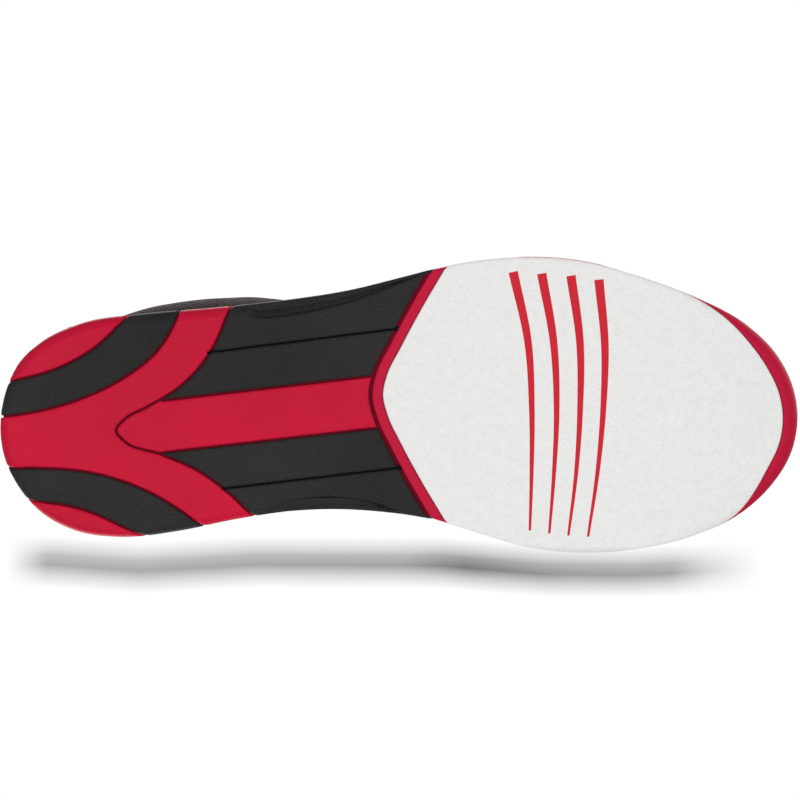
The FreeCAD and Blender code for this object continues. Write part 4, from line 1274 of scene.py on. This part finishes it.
OVERLAYS = {
    "side_bar_rear": (0.400, 0.438, 0.02, 0.70, "leather_red", 0.0),
    "side_bar_front": (0.450, 0.490, 0.02, 0.72, "leather_red", 0.0),
    "side_saddle": (0.503, 0.548, 0.02, saddle_top, "leather_black", 0.0),
    "eyestay": (0.352, THROAT + 0.018, 0.80, 0.995, "leather_black", 0.08),
}
for name, (f0, f1, low, high, leather_name, raise_by) in OVERLAYS.items():
    lines = []
    for word, span in both(f0, f1).items():
        panel = Panel(wall, span, low, high)
        lift = OVER_LIFT + raise_by
        over = sewn(f"{name}_{word}_leather", panel, lift, MAT[leather_name], thick=0.85, deep=0.8)
        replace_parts(over, f"{name}_{word}")
        lines += border(panel, 1.8, lift + 0.05, "lrbt" if name == "eyestay" else "lrt")
    stitch_mesh(f"{name}_stitches", lines, MAT["thread"])


# ---------------------------------------------------------------- vamp and toe box
def build_vamp():
    """The mesh cloth over the forefoot, one piece across the ball line."""
    panel = Panel(arch, (THROAT + 0.002, TOE_BOX + 0.012), 0.0, 1.0)
    return sewn("vamp_cloth", panel, SHELL_LIFT, MAT["mesh"], deep=1.2, body=None)


def toe_box_mesh():
    """The toe box: its wall and its top in one skin."""
    lift = SHELL_LIFT + 0.75
    across, deep, up = 27, 13, 22
    u = np.linspace(0, 1, across)
    v = np.linspace(0, 1, deep)
    t = np.linspace(0, 1, up)
    nose = TOE_BOX + TOE_SIDE
    f = np.concatenate([TOE_BOX + TOE_SIDE * v[:-1], nose + 2 * (1 - nose) * u[:-1],
                        2.0 - TOE_BOX - TOE_SIDE * v[::-1]])
    ff, tt = np.meshgrid(f, t, indexing="ij")
    low = wall(ff, tt) + normals_of(wall, ff, tt) * lift
    uu, vv = np.meshgrid(u, v, indexing="ij")
    inner = np.clip(uu, 2e-3, 1 - 2e-3), np.clip(vv, 2e-3, 1 - 2e-3)
    n = -normals_of(toe_top, *inner)
    n *= np.where(n[..., 2:] < 0, -1, 1)
    high = toe_top(uu, vv) + n * lift
    o = mesh_object("toe_box_leather", np.vstack([low.reshape(-1, 3), high.reshape(-1, 3)]),
                    grid_faces(len(f), up) + grid_faces(across, deep, len(f) * up), MAT["leather_black"])
    return recalc(o, merge=0.3)


def smoothed(o, rounds):
    """Even out a mesh without moving its open edge."""
    bm = bmesh.new()
    bm.from_mesh(o.data)
    inside = [v for v in bm.verts if not v.is_boundary]
    for _ in range(rounds):
        bmesh.ops.smooth_vert(bm, verts=inside, factor=0.5, use_axis_x=True, use_axis_y=True, use_axis_z=True)
    bm.to_mesh(o.data)
    bm.free()
    return o


vamp = build_vamp()
bend(vamp, "vamp_rear", "vamp_flex", "vamp_front")
toe_box = smoothed(toe_box_mesh(), 6)
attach(toe_box, "forefoot")
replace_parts(toe_box, "toe_box_wall", "toe_box_top")
guard_panel = Panel(wall, (0.765, 1.235), 0.01, guard_top)
guard = sewn("toe_guard_leather", guard_panel, OVER_LIFT + 0.2, MAT["leather_black"], thick=0.85, deep=0.9,
             body="forefoot")
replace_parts(guard, "toe_guard")
toe_edge = np.linspace(0.004, 0.996, 120)
edge_n = normals_of(arch, np.full(120, TOE_BOX + 0.012), toe_edge)
edge_p = arch(np.full(120, TOE_BOX + 0.012), toe_edge) + edge_n * -0.15
stitch_mesh("toe_stitches", border(guard_panel, 1.9, 0.3, "t", 160) + [(edge_p, edge_n)], MAT["thread"],
            body="forefoot")


# ---------------------------------------------------------------- collar, tongue, insole
def collar_sections(f):
    """Rows of the padded collar for heel-to-front positions f: over the topline and down the inside."""
    rows = []

    def on_wall(t, depth):
        p = wall(f, t)
        return p - normals_of(wall, f, np.full(len(f), t)) * np.asarray(depth).reshape(-1, 1)

    for t, depth in ((0.925, 1.25), (0.93, 0.45), (0.945, 0.25), (0.965, 0.12), (0.985, 0.05)):
        rows.append(on_wall(t, depth))
    top, n = wall(f, 1.0), normals_of(wall, f, np.full(len(f), 0.995))
    rise = unit(wall(f, 1.0) - wall(f, 0.985))
    inner = 3.95 + foam_depth(f, 0.97)
    for angle in np.linspace(8, 172, 12):
        c, s = math.cos(math.radians(angle)), math.sin(math.radians(angle))
        depth = inner / 2 - (inner / 2) * c
        rows.append(top - n * depth[:, None] + rise * (2.2 * s))
    for t in (0.985, 0.955, 0.92, 0.88, 0.83, 0.78, 0.74, 0.71, 0.69, 0.675, 0.66, 0.63, 0.59, 0.54, 0.48,
              0.40, 0.31, 0.22, 0.13, 0.05):
        seam = 1.1 * math.exp(-((t - 0.69) / 0.018) ** 2)
        rows.append(on_wall(t, 3.95 + foam_depth(f, t) * 1.12 - seam))
    return np.stack(rows, axis=1)


def build_collar():
    f = np.linspace(-0.352, 0.352, 141)
    o = grid_object("collar", collar_sections(f), MAT["lining"])
    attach(o, "rearfoot")
    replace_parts(o, "collar_foam", "collar_lining")
    return o


def tongue_surface(s, q):
    """The tongue's upper side, q = -1..1 across. Past the facings it carries on in a rising line."""
    held = np.maximum(s, TONGUE_BEND)

    def at(s):
        side = 0.165 + 0.035 * smooth(0.42, 0.56, s)
        middle, left, right = (arch(s, a) - normals_of(arch, s, a) * TONGUE_DEPTH
                               for a in (np.full(s.shape, 0.5), 0.5 - side, 0.5 + side))
        k = q[..., None]
        return middle + (right - left) * (k / 2) + ((left + right) * 0.5 - middle) * (k * k)

    p, r = at(held), at(held + 0.03)
    past = ((held - s) / 0.03)[..., None]
    return np.where(past > 0, p + (p - r) * past + np.array([1.6, 0, 1.6]) * (past * past / 3), at(held))


def build_tongue():
    """Padded tongue with a bound edge and two sewn channels."""
    rows, columns = 75, 41
    s = np.linspace(TONGUE_LAST, TONGUE_FIRST, rows)
    q = np.sin(np.linspace(-1, 1, columns) * math.pi / 2)
    ss, qq = np.meshgrid(s, q, indexing="ij")
    h = 2e-3
    n = unit(np.cross(tongue_surface(ss + h, qq) - tongue_surface(ss - h, qq),
                      tongue_surface(ss, qq + 0.01) - tongue_surface(ss, qq - 0.01)))
    p = tongue_surface(ss, qq)
    reach = np.clip(1 - (qq / 0.6) ** 2, 0, 1)
    pad = TONGUE_PAD * reach**2 * (1 - smooth(0.515, 0.550, ss))
    pad += 1.3 * (1 - np.abs(qq) ** 3) * (1 - smooth(0.50, 0.56, ss))
    for line in (-0.62, 0.62):
        pad -= 0.9 * np.exp(-((qq - line) / 0.045) ** 2)
    pad -= 0.9 * np.exp(-((ss - TONGUE_LAST - 0.016) / 0.0022) ** 2)
    end = np.minimum(smooth(TONGUE_LAST - 0.0001, TONGUE_LAST + 0.006, ss), 1)
    fade = np.sqrt(np.clip(1 - np.abs(qq) ** 8, 0, 1)) * np.sqrt(np.clip(end, 0, 1))
    middle = -TONGUE_THICK / 2
    top = p + n * (middle + (pad - middle) * fade)[..., None]
    low = p + n * (middle - TONGUE_THICK / 2 * fade)[..., None]
    a, b = runs(top, 0), runs(top, 1)
    verts = np.vstack([top.reshape(-1, 3), low.reshape(-1, 3)])
    faces = grid_faces(rows, columns) + [f[::-1] for f in grid_faces(rows, columns, rows * columns)]
    o = mesh_object("tongue_padded", verts, faces, MAT["tongue"])
    lay_uv(o, np.tile(np.stack([a, b], axis=-1).reshape(-1, 2), (2, 1)))
    recalc(o, merge=0.01)
    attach(o, "tongue")
    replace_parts(o, "tongue")
    return o


def plan_plate(name, inset, span, material, roll):
    """A plate with a rolled edge, inset mm inside the sole's outline, between two heights over the midsole."""
    ring = EDGE + EDGE_IN * inset
    x_low, x_high = ring[:, 0].min() + 0.05, ring[:, 0].max() - 0.05
    turn = np.linspace(0, math.pi, 130)
    x = (x_low + x_high) / 2 - (x_high - x_low) / 2 * np.cos(turn)
    nose = ring[:, 0].argmax()
    lateral, medial = ring[:nose + 1], ring[nose:][::-1]
    y0 = np.interp(x, lateral[:, 0], lateral[:, 1])
    order = np.argsort(medial[:, 0])
    y1 = np.interp(x, medial[order, 0], medial[order, 1])
    across = np.sin(np.linspace(-1, 1, 31) * math.pi / 2)
    y = (y0 + y1)[:, None] / 2 + (y1 - y0)[:, None] / 2 * across[None, :]
    xx = np.repeat(x[:, None], 31, axis=1)
    gap = np.minimum(y - y0[:, None], y1[:, None] - y)
    gap = np.minimum(gap, np.minimum(xx - x_low, x_high - xx))
    f = np.clip(1 - gap / roll, 0, 1)
    fall = roll * 0.8 * (1 - np.sqrt(1 - f * f))
    top = np.stack([xx, y, midsole_top(xx) + span[1] - fall], axis=-1)
    under = np.stack([xx, y, midsole_top(xx) + span[0] + fall * 0.2], axis=-1)
    m, k = xx.shape
    faces = grid_faces(m, k) + [q[::-1] for q in grid_faces(m, k, m * k)]
    rim = [(i, 0) for i in range(m)] + [(m - 1, j) for j in range(1, k)]
    rim += [(i, k - 1) for i in range(m - 2, -1, -1)] + [(0, j) for j in range(k - 2, 0, -1)]
    loop = [i * k + j for i, j in rim]
    for a, b in zip(loop, loop[1:] + loop[:1]):
        faces.append((b, a, a + m * k, b + m * k))
    o = recalc(mesh_object(name, np.vstack([top.reshape(-1, 3), under.reshape(-1, 3)]), faces, material))
    lay_uv(o, np.tile(np.stack([xx, y], axis=-1).reshape(-1, 2), (2, 1)))
    return bend(o, f"{name}_rear", f"{name}_front")


build_collar()
build_tongue()
plan_plate("insole_board", FEATHER_INSET + 4.2, (0.0, 1.6), MAT["board"], 0.4)
plan_plate("sockliner", FEATHER_INSET + 5.4, (1.6, 5.6), MAT["sock"], 1.6)


# ---------------------------------------------------------------- lace, eyelets, pull tab
def sweep(path, side, up, width, thick):
    """A flat tape along a 3D path; width and thick may vary along it."""
    angle = np.linspace(0, 2 * math.pi, 15)[:-1]
    c, s = np.cos(angle), np.sin(angle)
    round_c = np.sign(c) * np.abs(c) ** 0.45
    round_s = np.sign(s) * np.abs(s) ** 0.8
    width, thick = np.broadcast_to(width, len(path)), np.broadcast_to(thick, len(path))
    rings = (path[:, None, :] + side[:, None, :] * (round_c[None, :] * width[:, None] / 2)[..., None]
             + up[:, None, :] * (round_s[None, :] * thick[:, None] / 2)[..., None])
    rows, k = rings.shape[:2]
    faces = strip_faces(rows, k, closed=True)
    faces += [tuple(range(k))[::-1], tuple((rows - 1) * k + j for j in range(k))]
    run = run_along(path)
    uv = np.stack([np.repeat(run[:, None], k, axis=1), round_c[None, :] * width[:, None] / 2], axis=-1)
    return rings.reshape(-1, 3), faces, uv.reshape(-1, 2)


def joined(name, parts, material, body="rearfoot"):
    """One object from several (verts, faces, uv)."""
    verts = np.vstack([p[0] for p in parts])
    faces, base = [], 0
    for part, own, _ in parts:
        faces += [tuple(v + base for v in f) for f in own]
        base += len(part)
    o = mesh_object(name, verts, faces, material)
    lay_uv(o, np.vstack([p[2] for p in parts]))
    recalc(o)
    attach(o, body)
    return o


def eyelet_frame(lateral, share):
    """(point, outward normal) of an eyelet."""
    f = np.array([share if lateral else 2.0 - share])
    t = np.array([EYELET_T])
    return wall(f, t)[0], normals_of(wall, f, t)[0]


def smooth_path(points, count):
    return even(hermite_path(points, False, 12), count)


LACE_INSIDE = 4.2           # the lace's turns lie this far inside the upper's surface


def build_lace():
    """A flat lace in straight bars over the tongue, its ends and crossings inside."""
    parts = []
    for share in EYELETS:
        (pl, nl), (pr, nr) = eyelet_frame(True, share), eyelet_frame(False, share)
        a = np.linspace(WALL_SHARE * EYELET_T + 0.026, 1 - WALL_SHARE * EYELET_T - 0.026, 9)
        over = arch(np.full(9, share), a)
        over_n = normals_of(arch, np.full(9, share), a)
        path = np.vstack([pl - nl * 4.4, pl - nl * 1.5, pl + nl * 0.9, over + over_n * 2.0, pr + nr * 0.9,
                          pr - nr * 1.5, pr - nr * 4.4])
        path = smooth_path(path, 90)
        tangent = unit(np.gradient(path, axis=0))
        mid_n = normals_of(arch, np.array([share]), np.array([0.5]))[0]
        along = unit(np.cross(mid_n, np.array([0.0, 1.0, 0.0])))
        side = unit(along[None, :] - tangent * (tangent @ along)[:, None])
        up = unit(np.cross(side, tangent))
        run = np.linspace(0, 1, len(path))
        near = np.minimum(run, 1 - run) * path_length(path)
        width = 2.9 + 3.1 * smooth(4.0, 10.5, near)
        thick = 1.9 - 0.75 * smooth(4.0, 10.5, near)
        parts.append(sweep(path, side, up, width, thick))
    for i in range(len(EYELETS) - 1):
        lateral = bool(i % 2)
        (p, n), (q, m) = (eyelet_frame(lateral, share) for share in EYELETS[i:i + 2])
        path = np.linspace(p - n * LACE_INSIDE, q - m * LACE_INSIDE, 8)
        tangent = unit(np.gradient(path, axis=0))
        side = unit(np.cross(tangent, np.array([[0.0, 0.0, 1.0]])))
        parts.append(sweep(path, side, np.cross(side, tangent), 1.8, 1.4))
    o = joined("lace_bars", parts, MAT["lace"])
    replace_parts(o, "lace")


def ring_part(centre, normal, profile):
    """A turned ring: profile rows of (radius, height) along the normal."""
    side = unit(np.cross(normal, np.array([1.0, 0.0, 0.0])))
    other = np.cross(normal, side)
    angle = np.linspace(0, 2 * math.pi, 33)[:-1]
    verts = [centre + normal * h + (side * math.cos(t) + other * math.sin(t)) * r
             for r, h in profile for t in angle]
    return np.array(verts), strip_faces(len(profile), len(angle), closed=True), np.zeros((len(verts), 2))


def build_eyelets(lateral):
    word = "lateral" if lateral else "medial"
    lip = [(1.85, 0.0), (1.85, 0.45), (1.98, 0.72), (2.25, 0.86), (2.6, 0.84), (2.95, 0.66), (3.18, 0.38),
           (3.25, 0.1)]
    frames = [eyelet_frame(lateral, share) for share in EYELETS]
    o = joined(f"eyelet_rings_{word}", [ring_part(p + n * 0.12, n, lip) for p, n in frames], MAT["metal"])
    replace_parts(o, f"eyelets_{word}")
    # a near-black disc in each eyelet: painted shade where the hole is
    holes = [ring_part(p, n, [(1.9, 0.20), (0.01, 0.20)]) for p, n in frames]
    joined(f"eyelet_shade_discs_{word}", holes, MAT["hole"])


def build_pull_tab():
    """Webbing loop over the heel's top edge."""
    route = np.array([(-140.9, 84.0), (-141.0, 92.0), (-140.9, 99.0), (-139.6, 102.2), (-136.6, 103.1),
                      (-133.0, 103.0), (-130.6, 101.4), (-128.6, 97.0), (-126.4, 91.0)])
    path = smooth_path(np.column_stack([route[:, 0], np.full(len(route), ridge_y(-139.0)), route[:, 1]]), 60)
    side = np.tile([0.0, 1.0, 0.0], (len(path), 1))
    up = unit(np.cross(side, np.gradient(path, axis=0)))
    o = joined("pull_tab_webbing", [sweep(path, side, up, 14.0, 1.25)], MAT["webbing"])
    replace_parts(o, "pull_tab")
    box = [(path[k] + up[k] * 0.62, up[k]) for k in range(3, 16)]
    lines = []
    for y in (-5.6, 5.6):
        lines.append((np.array([p for p, _ in box]) + [0, y, 0], np.array([n for _, n in box])))
    across = np.column_stack([np.zeros(9), np.linspace(-5.6, 5.6, 9), np.zeros(9)])
    for k in (3, 15):
        lines.append((path[k] + up[k] * 0.62 + across, np.tile(up[k], (9, 1))))
    stitch_mesh("pull_tab_stitches", lines, MAT["thread"], 2.0, 2.6)


build_lace()
build_eyelets(True)
build_eyelets(False)
build_pull_tab()


# ---------------------------------------------------------------- everything else keeps its CAD mesh
SLOT_MATERIALS = {
    "microfibre_white": "pad", "print_red": "stripe", "rubber_red": "rubber_rand",
    "rubber_black": "rubber_black", "midsole_foam": "midsole", "shank_plastic": "shank", "board": "board",
    "sock_fabric": "sock", "mesh": "tongue", "overlay_black": "leather_black", "overlay_red": "leather_red",
    "collar_foam": "foam", "lining": "lining", "eyelet_metal": "metal", "lace": "lace", "webbing": "webbing",
}
slot_of = {part["node"]: part["material_slot"] for part in frame["record"]["subparts"]}
for node, o in frame["nodes"].items():
    o.data.materials.clear()
    o.data.materials.append(MAT[SLOT_MATERIALS[slot_of[node]]])


# ---------------------------------------------------------------- camera, floor and light
CAMERA_TILT = 5.0          # degrees from straight below, towards the lateral side
CAMERA_FAR = 3.0
CAMERA_LENS = 358.6
CAMERA_AIM = Vector((0.0, -0.0020, 0.004))

tilt = math.radians(CAMERA_TILT)
camera = bpy.data.objects.new("camera", bpy.data.cameras.new("camera"))
camera.data.lens = CAMERA_LENS
camera.data.sensor_width = 36
camera.data.clip_end = 20
toward = Vector((0, math.sin(tilt), math.cos(tilt)))
camera.location = CAMERA_AIM - toward * CAMERA_FAR
up = Vector((0, -math.cos(tilt), math.sin(tilt)))
right = toward.cross(up)
camera.matrix_world = Matrix.Translation(camera.location) @ Matrix((right, up, -toward)).transposed().to_4x4()
bpy.context.scene.collection.objects.link(camera)
bpy.context.scene.camera = camera


def area(name, place, aim, size, power):
    """A square soft light, size m wide."""
    light = bpy.data.lights.new(name, "AREA")
    light.shape = "RECTANGLE"
    light.size = light.size_y = size
    light.energy = power
    o = bpy.data.objects.new(name, light)
    o.location = place
    o.rotation_euler = (Vector(aim) - Vector(place)).to_track_quat("-Z", "Y").to_euler()
    bpy.context.scene.collection.objects.link(o)


AMBIENT = 0.46
world = bpy.data.worlds.new("studio")
world.use_nodes = True
tree = world.node_tree
background = tree.nodes["Background"]
background.inputs["Color"].default_value = (1, 1, 1, 1)
seen = tree.nodes.new("ShaderNodeLightPath")
level = tree.nodes.new("ShaderNodeMapRange")
level.inputs["To Min"].default_value = AMBIENT
level.inputs["To Max"].default_value = 1.0
tree.links.new(seen.outputs["Is Camera Ray"], level.inputs["Value"])
tree.links.new(level.outputs[0], background.inputs["Strength"])
bpy.context.scene.world = world
bpy.context.scene.view_settings.view_transform = "Standard"

area("key_below", (-0.35, 0.25, -1.10), (0, 0, 0), 0.7, 5.2)
area("fill_below", (0.6, -0.2, -1.0), (0, 0, 0), 0.9, 4.0)
area("key_above", (-0.35, -0.80, 1.50), (0, 0, 0.05), 0.7, 15)
area("fill_above", (0.95, -0.35, 0.95), (0, 0, 0.05), 0.8, 6)
area("rim_above", (-0.45, 1.05, 0.80), (0, 0, 0.05), 0.7, 14)


def shadow_sheet(name, corners, strength):
    """A sheet on the ground that shows nothing but a painted soft shadow. strength(n) is a node output."""
    me = bpy.data.meshes.new(name)
    me.from_pydata(corners, [], [(0, 1, 2, 3)])
    n = Nodes(name)
    clear = n.new("ShaderNodeBsdfTransparent")
    dark = n.new("ShaderNodeEmission")
    dark.inputs["Strength"].default_value = 0.0
    mix = n.new("ShaderNodeMixShader")
    n.link(strength(n), mix.inputs[0])
    n.link(clear.outputs[0], mix.inputs[1])
    n.link(dark.outputs[0], mix.inputs[2])
    n.link(mix.outputs[0], n.out.inputs[0])
    n.tree.nodes.remove(n.bsdf)
    me.materials.append(n.mat)
    o = bpy.data.objects.new(name, me)
    o.visible_shadow = o.visible_diffuse = o.visible_glossy = False
    bpy.context.scene.collection.objects.link(o)
    return o


CONTACT_REACH = 0.07
CONTACT_STRENGTH = 0.8


def contact_shadow(n):
    """Dark where the shoe is close to the sheet."""
    near = n.new("ShaderNodeAmbientOcclusion", samples=8)
    near.inputs["Distance"].default_value = CONTACT_REACH
    return n.math("MULTIPLY", n.math("SUBTRACT", 1.0, near.outputs["AO"]), CONTACT_STRENGTH)


def profile(n, value, stops):
    """A soft curve through (place, strength) stops along a coordinate."""
    first, last = stops[0][0], stops[-1][0]
    span = n.new("ShaderNodeMapRange")
    n.set(span, Value=value, From_Min=first, From_Max=last)
    return n.ramp(span.outputs[0], [((at - first) / (last - first), (v, v, v)) for at, v in stops])


def medial_shadow(n):
    """A painted band of shade on the ground along the shoe's medial side, away from the key light."""
    axes = n.new("ShaderNodeSeparateXYZ")
    n.link(n.coords, axes.inputs[0])
    x, y, _ = axes.outputs
    across = n.math("SUBTRACT", y, n.math("MULTIPLY", profile(n, x, SHADE_BULGE), SHADE_SHIFT))
    return n.math("MULTIPLY", profile(n, x, SHADE_ALONG), profile(n, across, SHADE_ACROSS))


GROUND_LOW = -0.0006        # the sheets lie a hair below the sole
SHADE_LOW = -0.0003
SHADE_SHIFT = 0.004         # the band bulges by this much where the sole is widest
# (place in metres, strength 0..1)
SHADE_BULGE = [(-0.130, 0.0), (-0.098, 0.6), (-0.055, 0.0), (0.016, 0.1), (0.055, 0.9), (0.087, 1.0),
               (0.134, 0.4)]
SHADE_ALONG = [(-0.148, 0.0), (-0.133, 0.58), (0.0, 0.63), (0.025, 0.80), (0.063, 0.66), (0.102, 0.62),
               (0.116, 0.32), (0.136, 0.0)]
SHADE_ACROSS = [(0.0490, 0.0), (0.0540, 0.50), (0.0562, 0.80), (0.0599, 1.0), (0.0640, 0.47), (0.0685, 0.0)]


def level_rectangle(z, x, y):
    """The corners of a level rectangle at height z, x and y being its ends along each axis."""
    return [(x[0], y[0], z), (x[1], y[0], z), (x[1], y[1], z), (x[0], y[1], z)]


under_shoe = level_rectangle(GROUND_LOW, (-0.5, 0.5), (-0.5, 0.5))
beside_shoe = level_rectangle(SHADE_LOW, (-0.16, 0.16), (0.04, 0.08))
shadow_sheet("ground_shadow", under_shoe, contact_shadow)
shadow_sheet("medial_shadow", beside_shoe, medial_shadow)
